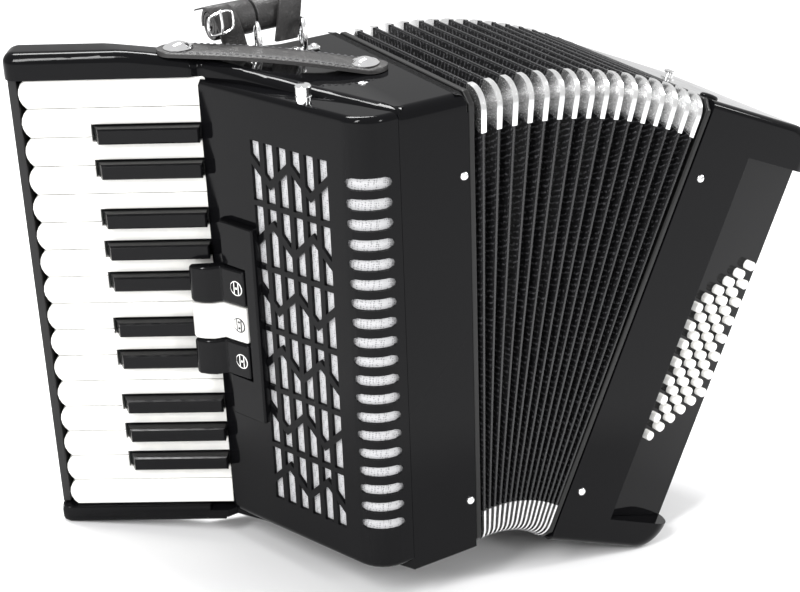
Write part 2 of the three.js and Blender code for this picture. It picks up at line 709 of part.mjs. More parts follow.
function bellowsStrap() {
  const strap = planFrame(STRAP_FROM, STRAP_ANGLE);
  const r = STRAP_HALF;
  const outline = [
    ...arcPoints(0, 0, r, 90, 270, 6), ...arcPoints(STRAP_LENGTH, 0, r, -90, 90, 6),
  ].map(([u, v]) => strap(u, v));
  return overlap(slab(outline, CASE_TOP - 20, CASE_TOP + 40), topBand(GAP, 3.4));
}

// The case's top at a distance along the bellows.
function riseAt(x) {
  const i = RISE.findIndex(([left]) => left <= x);
  const [[x0, z0], [x1, z1]] = [RISE[i - 1], RISE[i]];
  return z0 + ((z1 - z0) * (x - x0)) / (x1 - x0);
}

function strapBracket() {
  const bar = overlap(slab([[-82, 50.5], [-30, 47.5], [-30, 55], [-82, 58]], CASE_TOP - 20, CASE_TOP + 40),
    topBand(GAP, 3));
  const loops = [-73, -40].map((x) => {
    const geometry = new THREE.TorusGeometry(11, 1.7, 8, 20);
    geometry.rotateX(Math.PI / 2);
    geometry.rotateZ(THREE.MathUtils.degToRad(LOOP_TURN));
    geometry.translate(x, LOOP_Y, riseAt(x) + LOOP_LIFT);
    return solidOf(geometry);
  });
  return cut(join(bar, ...loops), riseTo(-GAP));
}

// Two shoulder straps rolled up together, lying behind the bellows strap.
function shoulderStraps() {
  const turns = 2.6;
  const outer = [];
  const inner = [];
  const steps = 44;
  for (let i = 0; i <= steps; i += 1) {
    const angle = (i / steps) * turns * 2 * Math.PI;
    const r = 4.2 + (i / steps) * (ROLL_R - 4.2);
    outer.push([r * Math.cos(angle), r * Math.sin(angle)]);
    inner.push([(r - 3) * Math.cos(angle), (r - 3) * Math.sin(angle)]);
  }
  const geometry = new THREE.ExtrudeGeometry(shapeOf([...outer, ...inner.reverse()]), {
    depth: 62,
    bevelEnabled: false,
  });
  const matrix = new THREE.Matrix4().makeBasis(
    new THREE.Vector3(0, -1, 0), new THREE.Vector3(0, 0, 1), new THREE.Vector3(-1, 0, 0),
  );
  matrix.setPosition(-34, ROLL_Y, CASE_TOP + ROLL_R + 8.1);
  return placedFlipped(solidOf(geometry), matrix);
}

// ---------------------------------------------------------------- put it together
addMesh(treble, "treble_case", trebleCase(), "case");
addMesh(treble, "keyboard_bed", keyboardBed(), "bed");
const axleAt = key(AXLE_U, AXLE_V);
addMesh(treble, "key_axle", rod(axleAt[0], axleAt[1], -9.5, CASE_TOP + 5.5, AXLE_R), "steel");
addMesh(treble, "grille_cover", grilleCover(), "case");
addMesh(treble, "grille_cloth", grilleCloth(), "cloth");
addMesh(treble, "register_housing", registerHousing(), "case");
addMesh(treble, "treble_reed_block", trebleReedBlock(), "reed");
addMesh(treble, "bellows_frame_treble", ring(GAP, BELLOWS_FRAME - 0.2, 0.3, BELLOWS_DEPTH, 0), "frame");
addMesh(treble, "strap_bracket", strapBracket(), "chrome");
addMesh(treble, "shoulder_straps", shoulderStraps(), "leather");
addMesh(treble, "bellows_strap", bellowsStrap(), "leather");

const rockerAt = face(25, 1);
for (let i = 0; i < 3; i += 1) {
  const bottom = 167.8 - i * 27.2;
  const look = i === 1 ? "white" : "black";
  const rocker = registerSwitch(bottom, 26.4);
  addMesh(treble, `register_switch_${i + 1}`, rocker, look, [...rockerAt, bottom + 13.2]);
}
for (let i = 1; i <= WHITE_KEYS; i += 1) {
  const z = KEYS_HEIGHT - (i - 0.5) * KEY_PITCH;
  addMesh(treble, `white_key_${String(i).padStart(2, "0")}`, whiteKey(i), "white", [...axleAt, z]);
}
BLACK_KEYS.forEach((entry, i) => {
  const [low, high] = blackSpan(entry);
  const name = `black_key_${String(i + 1).padStart(2, "0")}`;
  addMesh(treble, name, blackKey(entry), "black", [...axleAt, (low + high) / 2]);
});
for (let i = 0; i < FOLD_RINGS; i += 1) {
  const x = BELLOWS_FRAME + (i + 0.5) * FOLD_PITCH;
  const group = fanGroup((i + 0.5) / FOLD_RINGS);
  const half = FOLD_PITCH / 2 - FOLD_CLEAR;
  const solid = ring(x - half, x + half, 1.5, BELLOWS_DEPTH - 3, 1.2);
  addMesh(group, `bellows_folds_${i + 1}`, solid, "fold", [FAN_POLE[0], 0, FAN_POLE[1]]);
}

const bassFan = fanGroup(1);
addMesh(bassFan, "bellows_frame_bass",
  ring(BASS_START - BELLOWS_FRAME + 0.2, BASS_START - GAP, 0.3, BELLOWS_DEPTH, 0), "frame");
const bass = new THREE.Group();
bass.position.x = BASS_START;
bassFan.add(bass);
addMesh(bass, "bass_case", bassCase(), "case");
addMesh(bass, "bass_button_board", buttonBoard(), "case");
addMesh(bass, "bass_reed_block", bassReedBlock(), "reed");
addMesh(bass, "bass_strap", bassStrap(), "leather");

const place = boardPlace();
for (let row = 0; row < BUTTON_ROWS; row += 1) {
  const mesh = addMesh(bass, `bass_buttons_row_${row + 1}`, buttonRow(), "button");
  const [x, y] = boardPoint(row, 0);
  mesh.position.set(x, y, 0).applyMatrix4(place);
  mesh.quaternion.setFromRotationMatrix(properBasis(place));
}
const air = addMesh(bass, "air_button", airButton(), "button");
air.position.setFromMatrixPosition(airButtonPlace());
air.quaternion.setFromRotationMatrix(properBasis(airButtonPlace()));

// A right-handed basis with the same Z and Y: solids here are symmetric across X.
function properBasis(matrix) {
  const x = new THREE.Vector3();
  const y = new THREE.Vector3();
  const z = new THREE.Vector3();
  matrix.extractBasis(x, y, z);
  return new THREE.Matrix4().makeBasis(new THREE.Vector3().crossVectors(y, z), y, z);
}

// ---------------------------------------------------------------- stand it on the floor
// The lean is the one that puts the keyboard's lowest corner and the bass side's lowest
// corner on the same level.
function lowestPoints(angle) {
  treble.rotation.y = angle;
  accordion.updateMatrixWorld(true);
  const point = new THREE.Vector3();
  const low = { left: new THREE.Vector3(0, 0, 1e9), right: new THREE.Vector3(0, 0, 1e9) };
  const bounds = new THREE.Box3();
  accordion.traverse((mesh) => {
    if (!mesh.isMesh) return;
    const positions = mesh.geometry.getAttribute("position");
    for (let i = 0; i < positions.count; i += 1) {
      point.fromBufferAttribute(positions, i).applyMatrix4(mesh.matrixWorld);
      bounds.expandByPoint(point);
      const side = point.x < 0 ? low.left : low.right;
      if (point.z < side.z) side.copy(point);
    }
  });
  return { ...low, bounds };
}
let lean = 0;
let found = lowestPoints(lean);
for (let i = 0; i < 8; i += 1) {
  lean -= Math.atan2(found.left.z - found.right.z, found.right.x - found.left.x);
  found = lowestPoints(lean);
}
const middle = found.bounds.getCenter(new THREE.Vector3());
treble.position.set(-middle.x, -middle.y, -found.bounds.min.z);
accordion.updateMatrixWorld(true);

export default accordion;
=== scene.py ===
"""Piano accordion: the finished look built round its packed mechanical model."""

import json
import math

import bpy
import numpy as np
from mathutils import Euler, Matrix, Vector


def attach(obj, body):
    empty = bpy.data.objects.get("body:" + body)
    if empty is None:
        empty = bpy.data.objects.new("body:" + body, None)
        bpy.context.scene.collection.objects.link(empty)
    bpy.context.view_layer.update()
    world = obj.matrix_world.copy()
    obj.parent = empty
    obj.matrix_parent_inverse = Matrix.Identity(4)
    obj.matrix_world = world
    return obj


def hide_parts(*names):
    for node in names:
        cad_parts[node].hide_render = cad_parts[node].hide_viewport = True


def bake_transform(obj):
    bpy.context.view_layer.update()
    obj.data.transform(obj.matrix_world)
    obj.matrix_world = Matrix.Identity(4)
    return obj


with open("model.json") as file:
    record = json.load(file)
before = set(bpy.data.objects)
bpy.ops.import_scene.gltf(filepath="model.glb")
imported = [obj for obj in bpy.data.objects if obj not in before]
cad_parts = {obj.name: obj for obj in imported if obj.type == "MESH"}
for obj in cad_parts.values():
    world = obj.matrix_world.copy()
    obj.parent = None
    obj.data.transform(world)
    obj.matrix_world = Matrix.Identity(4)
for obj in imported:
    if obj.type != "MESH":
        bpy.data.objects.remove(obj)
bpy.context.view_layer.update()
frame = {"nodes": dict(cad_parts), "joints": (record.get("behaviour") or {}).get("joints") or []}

bl_info = {
    "name": "Piano Accordion Builder",
    "version": (1, 0, 0),
    "blender": (4, 5, 0),
    "location": "3D View > Sidebar > Accordion",
    "description": "Builds the case, keys, bellows, bass board and straps of a piano accordion",
    "category": "Object",
}

MM = 0.001

# Planes that the cases and the closed bellows share, in millimetres.
FRONT, BACK = -82.5, 84.0
FLOOR, TOP = -12.0, 320.0
BELLOWS_START, BELLOWS_LENGTH = 5.0, 56.0
BASS_WIDTH = 118.0
AXIS_NEAR = 0.02  # a turned piece's outline stops this near its axis


# ------------------------------------------------------------------ places
def joint_named(name):
    return next(j for j in frame["joints"] if j["name"] == name)


FAN_POLE_MM = Vector((22.5, 0.0, -13.5))
FAN_ANGLE = math.radians(24.4)
_up = -Vector(joint_named("white_01_press")["axis"])
LEAN = math.atan2(_up.x, _up.z)
_pole = Vector(joint_named("bellows_fan")["pos_m"])
_turn = Matrix.Rotation(LEAN, 4, "Y")
TREBLE = Matrix.Translation(_pole - (_turn @ (FAN_POLE_MM * MM))) @ _turn @ Matrix.Scale(MM, 4)


def fan(share):
    """The closed bellows' frame turned by a share of the fan's opening, in millimetres."""
    pole = Matrix.Translation(FAN_POLE_MM)
    return TREBLE @ pole @ Matrix.Rotation(FAN_ANGLE * share, 4, "Y") @ pole.inverted()


BASS = fan(1.0) @ Matrix.Translation((66.0, 0.0, 0.0))


def plan_frame(origin, degrees):
    """along(u, v): u runs from the origin at that angle, v stands out to the front."""
    c, s = math.cos(math.radians(degrees)), math.sin(math.radians(degrees))
    return lambda u, v: (origin[0] + u * c + v * s, origin[1] + u * s - v * c)


KEY = plan_frame((-218.5, 114.0), -33.1)
FACE = plan_frame(KEY(116, 0), -71.5)
BOARD = plan_frame((49.7, -75.9), 9.6)
STRAP = plan_frame((-128.0, 63.5), -33.6)


def rise(x):
    """Height of the treble case's top, which climbs to the keyboard cheek."""
    points = [(-45, 320), (-70, 322.5), (-95, 327), (-130, 334), (-160, 338)]
    xs = [p[0] for p in points][::-1]
    zs = [p[1] for p in points][::-1]
    return float(np.interp(x, xs, zs))


def arc(cx, cy, radius, start, stop, steps):
    """Points on an arc, in degrees, ends included."""
    return [
        (cx + radius * math.cos(math.radians(a)), cy + radius * math.sin(math.radians(a)))
        for a in np.linspace(start, stop, steps + 1)
    ]


def fillet(points, radii, steps=5):
    """A closed outline with rounded corners. radii is one number or one per corner."""
    out = []
    n = len(points)
    for i, p in enumerate(points):
        r = radii[i] if hasattr(radii, "__len__") else radii
        p = Vector(p)
        a = Vector(points[i - 1]) - p
        b = Vector(points[(i + 1) % n]) - p
        angle = a.angle(b)
        if r <= 0 or angle > math.radians(176):
            out.append(tuple(p))
            continue
        cut = min(r / math.tan(angle / 2), a.length * 0.49, b.length * 0.49)
        r = cut * math.tan(angle / 2)
        start = p + a.normalized() * cut
        stop = p + b.normalized() * cut
        centre = p + (a.normalized() + b.normalized()).normalized() * (r / math.sin(angle / 2))
        for k in range(steps + 1):
            t = k / steps
            d0, d1 = start - centre, stop - centre
            sweep = d0.angle(d1)
            s = math.sin(sweep)
            d = d0 * (math.sin((1 - t) * sweep) / s) + d1 * (math.sin(t * sweep) / s)
            out.append(tuple(centre + d))
    return out


def offset(points, inset):
    """An anticlockwise closed outline moved inwards."""
    out = []
    n = len(points)
    for i in range(n):
        p = Vector(points[i])
        d0 = (p - Vector(points[i - 1])).normalized()
        d1 = (Vector(points[(i + 1) % n]) - p).normalized()
        n0, n1 = Vector((-d0.y, d0.x)), Vector((-d1.y, d1.x))
        m = (n0 + n1).normalized()
        out.append(tuple(p + m * (inset / max(0.35, m.dot(n0)))))
    return out


# ------------------------------------------------------------------ modelling helpers
def clear_selection():
    if bpy.context.object and bpy.context.object.mode != "OBJECT":
        bpy.ops.object.mode_set(mode="OBJECT")
    bpy.ops.object.select_all(action="DESELECT")


def pick(obj):
    clear_selection()
    obj.select_set(True)
    bpy.context.view_layer.objects.active = obj


def edit(obj, select="SELECT"):
    pick(obj)
    bpy.ops.object.mode_set(mode="EDIT")
    bpy.ops.mesh.select_all(action=select)


def done():
    bpy.ops.object.mode_set(mode="OBJECT")


def apply_modifier(obj, kind, **settings):
    pick(obj)
    modifier = obj.modifiers.new(kind.title(), kind)
    for key, value in settings.items():
        setattr(modifier, key, value)
    bpy.ops.object.modifier_apply(modifier=modifier.name)


def loft(name, rings, matrix, cyclic=True, caps=True, uv=None, mark=None, weld=5e-6):
    """A skin over rings of equal count, started as a grid and pulled into shape.

    uv(i, j) gives a corner's map place, and mark[i] is stored per ring as "share".
    weld is the distance at which points are joined, in the rings' own unit.
    """
    m, n = len(rings), len(rings[0])
    columns = n if cyclic else n - 1
    clear_selection()
    bpy.ops.mesh.primitive_grid_add(x_subdivisions=columns, y_subdivisions=m - 1, size=1)
    obj = bpy.context.object
    obj.name = name
    obj.data.name = name
    wide = columns + 1
    co = np.zeros((m, wide, 3))
    for i, ring in enumerate(rings):
        for j in range(wide):
            co[i, j] = matrix @ Vector(ring[j % n])
    obj.data.vertices.foreach_set("co", co.ravel())
    if mark is not None:
        share = obj.data.attributes.new("share", "FLOAT", "POINT")
        share.data.foreach_set("value", np.repeat(np.array(mark, np.float32), wide))
    layer = obj.data.uv_layers.active
    if uv is not None:
        for polygon in obj.data.polygons:
            for k in polygon.loop_indices:
                v = obj.data.loops[k].vertex_index
                layer.data[k].uv = uv(v // wide, v % wide)
    obj.data.update()
    edit(obj)
    bpy.ops.mesh.remove_doubles(threshold=weld)
    if caps:
        bpy.ops.mesh.select_all(action="DESELECT")
        bpy.ops.mesh.select_non_manifold(extend=False, use_wire=False, use_multi_face=False,
                                         use_non_contiguous=False, use_verts=False)
        bpy.ops.mesh.fill_holes(sides=0)
    bpy.ops.mesh.select_all(action="SELECT")
    bpy.ops.mesh.normals_make_consistent(inside=False)
    done()
    return obj


def prism(name, outline, z0, z1, matrix):
    """A plan outline raised from z0 to z1."""
    rings = [[(x, y, z) for x, y in outline] for z in (z0, z1)]
    return loft(name, rings, matrix, weld=MM)


def carve(obj, tool, operation="DIFFERENCE"):
    """Cuts the tool out of the object, and drops the tool."""
    apply_modifier(obj, "BOOLEAN", object=tool, operation=operation, solver="EXACT")
    bpy.data.objects.remove(tool)
    edit(obj)
    bpy.ops.mesh.remove_doubles(threshold=5e-6)
    done()


def carried(node, name, bevel=0.0, segments=2, angle=40):
    """A finished copy of a mechanical part: welded, flattened to whole faces, edges eased."""
    obj = frame["nodes"][node].copy()
    obj.data = obj.data.copy()
    for key in list(obj.keys()):
        del obj[key]
    bpy.context.scene.collection.objects.link(obj)
    obj.parent = None
    obj.matrix_world = Matrix.Identity(4)
    obj.name = name
    obj.data.name = name
    obj.data.materials.clear()
    obj.hide_render = False
    obj.hide_viewport = False
    edit(obj)
    bpy.ops.mesh.remove_doubles(threshold=2e-6)
    bpy.ops.mesh.dissolve_limited(angle_limit=math.radians(0.6))
    done()
    if obj.data.has_custom_normals:
        bpy.ops.mesh.customdata_custom_splitnormals_clear()
    if bevel:
        apply_modifier(obj, "BEVEL", width=bevel * MM, segments=segments, limit_method="ANGLE",
                       angle_limit=math.radians(angle), use_clamp_overlap=True)
    return obj


def smooth(obj, degrees=35, weighted=False):
    pick(obj)
    bpy.ops.object.shade_smooth_by_angle(angle=math.radians(degrees))
    if weighted:
        apply_modifier(obj, "WEIGHTED_NORMAL", keep_sharp=True, weight=80)


def merge(objects, name):
    clear_selection()
    for obj in objects:
        obj.select_set(True)
    bpy.context.view_layer.objects.active = objects[0]
    if len(objects) > 1:
        bpy.ops.object.join()
    obj = bpy.context.object
    obj.name = name
    obj.data.name = name
    return obj


def turned(name, profile, matrix, sides=32):
    """A turned part: the profile (radius, height) spun about the matrix's Z."""
    profile = [(r or AXIS_NEAR, h) for r, h in profile]
    rings = [
        [(r * math.cos(a), r * math.sin(a), h) for a in np.linspace(0, 2 * math.pi, sides, endpoint=False)]
        for r, h in profile
    ]
    return loft(name, rings, matrix)


def tube(name, path, radius, matrix, sides=10, closed=False):
    """A round bar along a path of points."""
    points = [Vector(p) for p in path]
    rings = []
    n = len(points)
    normal = None
    for i, p in enumerate(points):
        before = points[i - 1] if (i or closed) else p
        after = points[(i + 1) % n] if (i < n - 1 or closed) else p
        along = (after - before).normalized()
        if normal is None:
            normal = along.orthogonal().normalized()
        normal = (normal - along * normal.dot(along)).normalized()
        side = along.cross(normal)
        rings.append([
            p + (normal * math.cos(a) + side * math.sin(a)) * radius
            for a in np.linspace(0, 2 * math.pi, sides, endpoint=False)
        ])
    if closed:
        rings.append(rings[0])
    return loft(name, rings, matrix, caps=not closed)


def place(obj, body, material, replaces=(), smoothing=None, weighted=False):
    """Gives a finished piece its material and puts it on its body."""
    if smoothing:
        smooth(obj, smoothing, weighted)
    obj.data.materials.clear()
    obj.data.materials.append(material)
    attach(obj, body)
    if replaces:
        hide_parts(*replaces)
    return obj


def local(origin, x_axis, z_axis, base=TREBLE):
    """A frame with its Z along z_axis and its X near x_axis, placed in base."""
    z = Vector(z_axis).normalized()
    x = (Vector(x_axis) - z * Vector(x_axis).dot(z)).normalized()
    y = z.cross(x)
    matrix = Matrix.Identity(4)
    for i, axis in enumerate((x, y, z)):
        matrix.col[i] = (*axis, 0)
    matrix.col[3] = (*origin, 1)
    return base @ matrix


# ------------------------------------------------------------------ shader arithmetic
class Signal:
    """A shader socket that takes part in ordinary arithmetic."""

    def __init__(self, tree, socket):
        self.tree = tree
        self.socket = socket

    def _math(self, operation, *others):
        node = self.tree.nodes.new("ShaderNodeMath")
        node.operation = operation
        for i, value in enumerate((self, *others)):
            if isinstance(value, Signal):
                self.tree.links.new(value.socket, node.inputs[i])
            else:
                node.inputs[i].default_value = value
        return Signal(self.tree, node.outputs[0])

    def __add__(self, other):
        return self._math("ADD", other)

    __radd__ = __add__

    def __sub__(self, other):
        return self._math("SUBTRACT", other)

    def __rsub__(self, other):
        return (self * -1.0) + other

    def __mul__(self, other):
        return self._math("MULTIPLY", other)

    __rmul__ = __mul__

    def __truediv__(self, other):
        return self._math("DIVIDE", other)

    def power(self, other):
        return self._math("POWER", other)

    def fract(self):
        return self._math("FRACT")

    def sine(self):
        return self._math("SINE")

    def size(self):
        return self._math("ABSOLUTE")

    def step(self, low, high):
        node = add_node(self.tree, "ShaderNodeMapRange", {"interpolation_type": "SMOOTHSTEP"},
                        {0: self, 1: low, 2: high})
        return Signal(self.tree, node.outputs[0])


def add_node(tree, kind, settings=None, inputs=None):
    """A node with its settings first, then its sockets' values or links."""
    node = tree.nodes.new(kind)
    for key, value in (settings or {}).items():
        setattr(node, key, value)
    for key, value in (inputs or {}).items():
        socket = value.socket if isinstance(value, Signal) else value
        if isinstance(socket, bpy.types.NodeSocket):
            tree.links.new(socket, node.inputs[key])
        else:
            node.inputs[key].default_value = socket
    return node


class Finish:
    """A material on its way to being made, with patterns in millimetres."""

    def __init__(self, name, colour, roughness, metallic=0.0, coat=0.0, sheen=0.0, shine=0.5):
        self.material = bpy.data.materials.new(name)
        self.material.use_nodes = True
        self.tree = self.material.node_tree
        self.shader = self.tree.nodes["Principled BSDF"]
        self.shader.inputs["Base Color"].default_value = (*colour, 1)
        self.shader.inputs["Roughness"].default_value = roughness
        self.shader.inputs["Metallic"].default_value = metallic
        self.shader.inputs["Coat Weight"].default_value = coat
        self.shader.inputs["Coat Roughness"].default_value = 0.04
        self.shader.inputs["Specular IOR Level"].default_value = shine
        self.shader.inputs["Sheen Weight"].default_value = sheen
        self.colour_now = colour
        self.coordinates = self.node("ShaderNodeTexCoord")

    def node(self, kind, settings=None, inputs=None):
        return add_node(self.tree, kind, settings, inputs)

    def where(self, stretch=(1, 1, 1), source="Object", turn=(0, 0, 0)):
        return self.node("ShaderNodeMapping", inputs={
            "Scale": [s / MM for s in stretch], "Rotation": turn,
            "Vector": self.coordinates.outputs[source]}).outputs[0]

    def axes(self, vector):
        node = self.node("ShaderNodeSeparateXYZ", inputs={0: vector})
        return [Signal(self.tree, s) for s in node.outputs]

    def noise(self, size, detail=3.0, stretch=(1, 1, 1), source="Object", distortion=0.0):
        node = self.node("ShaderNodeTexNoise", inputs={
            "Scale": 1.0 / size, "Detail": detail, "Distortion": distortion,
            "Vector": self.where(stretch, source)})
        return Signal(self.tree, node.outputs[0])

    def cells(self, size, feature="F1", stretch=(1, 1, 1), source="Object", randomness=1.0):
        node = self.node("ShaderNodeTexVoronoi", {"feature": feature}, {
            "Scale": 1.0 / size, "Randomness": randomness, "Vector": self.where(stretch, source)})
        return Signal(self.tree, node.outputs[0])

    def tint(self, factor, colour):
        """Mixes another colour over the one so far."""
        base = self.shader.inputs["Base Color"]
        below = base.links[0].from_socket if base.links else (*self.colour_now, 1)
        node = self.node("ShaderNodeMix", {"data_type": "RGBA"}, {0: factor, 6: below, 7: (*colour, 1)})
        self.tree.links.new(node.outputs[2], base)
        return self

    def roughen(self, signal):
        self.tree.links.new(signal.socket, self.shader.inputs["Roughness"])
        return self

    def emboss(self, height, depth, strength=1.0):
        """Bumps the surface; depth is in millimetres."""
        node = self.node("ShaderNodeBump", inputs={
            "Distance": depth * MM, "Strength": strength, "Height": height})
        self.tree.links.new(node.outputs[0], self.shader.inputs["Normal"])
        return self


_finishes = {}


def finish(name):
    if name not in _finishes:
        _finishes[name] = FINISHES[name]()
    return _finishes[name]


def celluloid():
    f = Finish("black_celluloid", tuple(colours().case_colour), 0.09, shine=0.1)
    smears = f.noise(38, 4, distortion=0.6).step(0.42, 0.75)
    hairlines = f.noise(0.9, 2, stretch=(1, 1, 0.03)).step(0.62, 0.9)
    f.roughen(0.06 + smears * 0.05 + hairlines * 0.05)
    f.emboss(f.noise(55, 1), 0.05, 0.25)
    return f.material


def key_white():
    f = Finish("white_key_plastic", tuple(colours().white_key), 0.16, coat=0.35)
    f.tint(f.noise(14, 3).step(0.45, 0.8) * 0.5, (0.86, 0.85, 0.80))
    f.roughen(0.12 + f.noise(6, 4).step(0.3, 0.8) * 0.12)
    f.emboss(f.noise(24, 1), 0.03, 0.2)
    return f.material


def key_black():
    f = Finish("black_key_plastic", (0.004, 0.004, 0.0045), 0.12, shine=0.12)
    f.roughen(0.08 + f.noise(5, 4).step(0.35, 0.8) * 0.14)
    return f.material


def bellows_cloth():
    f = Finish("bellows_cloth", tuple(colours().bellows_colour), 0.5, shine=0.15)
    run, fold, _ = f.axes(f.where((0.001, 0.001, 1), "UV"))
    depth = ((fold.fract() - 0.5).size() * -2.0) + 1.0
    wander = f.noise(3.4, 3) * 5.2
    streak = ((run * 1.5 + depth * 7.0 + wander).sine() * 0.5 + 0.5)
    broken = f.noise(2.2, 2).step(0.38, 0.6)
    cord = streak.step(0.62, 0.95) * broken
    grain = f.cells(0.9)
    f.emboss(cord * 1.0 + grain * 0.25, 0.7, 1.0)
    f.roughen(0.5 - cord * 0.22)
    f.tint(cord * 0.75, (0.075, 0.075, 0.08))
    return f.material


def piping():
    f = Finish("bellows_piping", (0.012, 0.012, 0.013), 0.22, shine=0.5)
    f.roughen(0.16 + f.noise(2, 3) * 0.2)
    f.emboss(f.noise(0.6, 2), 0.05, 0.4)
    return f.material


def chrome():
    f = Finish("chrome", (0.96, 0.96, 0.965), 0.12, metallic=1.0)
    f.roughen(0.1 + f.noise(0.7, 3, stretch=(1, 0.06, 1)).step(0.5, 0.95) * 0.16)
    f.tint(f.noise(5, 3).step(0.55, 0.9) * 0.25, (0.72, 0.73, 0.76))
    return f.material


def steel():
    f = Finish("steel", (0.62, 0.62, 0.64), 0.3, metallic=1.0)
    f.roughen(0.24 + f.noise(0.8, 2, stretch=(1, 1, 0.05)) * 0.2)
    return f.material


def leather():
    f = Finish("black_leather", tuple(colours().leather_colour), 0.5, shine=0.4)
    pebble = f.cells(1.1, "SMOOTH_F1")
    creases = f.noise(7, 5, distortion=1.2)
    f.emboss(pebble * 0.8 + creases * 0.7, 0.35, 0.7)
    f.roughen(0.42 + pebble * 0.25)
    f.tint(creases.step(0.52, 0.8) * 0.6, (0.085, 0.082, 0.08))
    return f.material


def thread():
    f = Finish("strap_thread", (0.11, 0.11, 0.115), 0.8, sheen=0.3)
    f.emboss(f.noise(0.25, 2, stretch=(1, 3, 1)), 0.1, 0.6)
    return f.material


def corner_nickel():
    f = Finish("corner_nickel", (0.9, 0.9, 0.9), 0.25, metallic=0.95)
    f.roughen(0.17 + f.noise(1.2, 3).step(0.4, 0.9) * 0.2)
    f.tint(f.noise(3.0, 3).step(0.5, 0.85) * 0.35, (0.74, 0.74, 0.76))
    f.emboss(f.noise(2.5, 2), 0.08, 0.3)
    return f.material


def silver_cloth():
    f = Finish("grille_cloth", tuple(colours().cloth_colour), 0.42, metallic=0.0)
    x, y, z = f.axes(f.where())
    weave = ((z * 4.2).sine() * ((x * 2.6 - y * 3.0).sine())) * 0.5 + 0.5
    fray = f.noise(1.6, 4)
    dots = f.cells(1.5, randomness=0.35).step(0.42, 0.22)
    f.tint(dots * 0.75, (0.12, 0.12, 0.13))
    f.tint(fray.step(0.58, 0.8) * 0.5, (0.55, 0.55, 0.57))
    f.emboss(weave + dots * -1.0, 0.2, 0.6)
    f.roughen(0.3 + weave * 0.3)
    return f.material


def button_white():
    f = Finish("button_plastic", tuple(colours().button_colour), 0.18, coat=0.3)
    f.tint(f.noise(4, 3).step(0.5, 0.9) * 0.4, (0.82, 0.81, 0.77))
    f.roughen(0.14 + f.noise(2, 3) * 0.12)
    return f.material


def wood():
    f = Finish("reed_block_wood", (0.55, 0.40, 0.24), 0.55)
    x, y, z = f.axes(f.where((1, 1, 0.08)))
    rings = ((x * 1.3 + y * 1.1 + f.noise(11, 4, stretch=(1, 1, 0.1)) * 9.0).sine() * 0.5 + 0.5)
    f.tint(rings * 0.6, (0.33, 0.21, 0.11))
    f.emboss(f.noise(0.5, 3, stretch=(1, 1, 0.04)), 0.15, 0.5)
    return f.material


def lacquered_wood():
    f = Finish("black_lacquered_wood", (0.008, 0.008, 0.008), 0.3, shine=0.3)
    grain = f.noise(1.2, 4, stretch=(1, 1, 0.06))
    f.emboss(grain, 0.12, 0.4)
    f.roughen(0.2 + grain * 0.25)
    return f.material


def felt():
    f = Finish("black_felt", (0.02, 0.02, 0.02), 0.95, sheen=0.4)
    f.emboss(f.noise(0.5, 4), 0.3, 0.8)
    return f.material


def enamel():
    f = Finish("white_enamel", (0.9, 0.9, 0.88), 0.3)
    f.roughen(0.25 + f.noise(2, 2) * 0.15)
    return f.material


def studio_floor():
    f = Finish("studio_floor", (0.86, 0.86, 0.865), 0.6)
    f.roughen(0.55 + f.noise(60, 3) * 0.1)
    return f.material


FINISHES = {
    "celluloid": celluloid, "key_white": key_white, "key_black": key_black,
    "corner_nickel": corner_nickel, "bellows_cloth": bellows_cloth, "piping": piping, "chrome": chrome,
    "steel": steel,
    "leather": leather, "thread": thread, "silver_cloth": silver_cloth,
    "button_white": button_white, "wood": wood, "lacquered_wood": lacquered_wood,
    "felt": felt, "enamel": enamel, "studio_floor": studio_floor,
}


# ------------------------------------------------------------------ what a user may change
class AccordionSizes(bpy.types.PropertyGroup):
    """Sizes of the finished look, in millimetres."""

    key_ease: bpy.props.FloatProperty(
        name="Key edge", description="Rounding of the keys' edges, in millimetres", default=0.45, min=0.05,
        max=1)
    lid_round: bpy.props.FloatProperty(
        name="Lid rounding", description="Rounding of the treble lid's edge, in millimetres",
        default=7.5, min=1, max=9)
    fold_depth: bpy.props.FloatProperty(
        name="Fold depth", description="Depth of the bellows folds, in millimetres", default=20, min=8,
        max=23)
    piping_radius: bpy.props.FloatProperty(
        name="Piping", description="Radius of the piping on each fold, in millimetres", default=0.9,
        min=0.3, max=2)
    corner_reach: bpy.props.FloatProperty(
        name="Corner plate", description="Length of a corner plate down the side, in millimetres",
        default=26, min=10, max=60)
    button_radius: bpy.props.FloatProperty(
        name="Bass button", description="Radius of a bass button, in millimetres", default=3.5, min=2,
        max=3.7)


class AccordionColours(bpy.types.PropertyGroup):
    """Colours of the finished look."""

    case_colour: bpy.props.FloatVectorProperty(
        name="Case", description="Celluloid of the case", subtype="COLOR", default=(0.0035, 0.0035, 0.004))
    white_key: bpy.props.FloatVectorProperty(
        name="White keys", description="White key plastic", subtype="COLOR", default=(0.72, 0.715, 0.69))
    bellows_colour: bpy.props.FloatVectorProperty(
        name="Bellows", description="Cloth of the bellows", subtype="COLOR", default=(0.006, 0.006, 0.0065))
    leather_colour: bpy.props.FloatVectorProperty(
        name="Leather", description="Leather of the straps", subtype="COLOR", default=(0.022, 0.021, 0.021))
    cloth_colour: bpy.props.FloatVectorProperty(
        name="Grille cloth", description="Cloth behind the grille", subtype="COLOR",
        default=(0.5, 0.5, 0.51))
    button_colour: bpy.props.FloatVectorProperty(
        name="Buttons", description="Bass buttons", subtype="COLOR", default=(0.92, 0.915, 0.89))


def sizes():
    return bpy.context.scene.accordion_sizes


def colours():
    return bpy.context.scene.accordion_colours


class PieceOperator:
    bl_options = {"REGISTER", "UNDO"}

    def execute(self, context):
        self.build()
        clear_selection()
        return {"FINISHED"}


# ------------------------------------------------------------------ treble case
LID_SEAM = 308.0


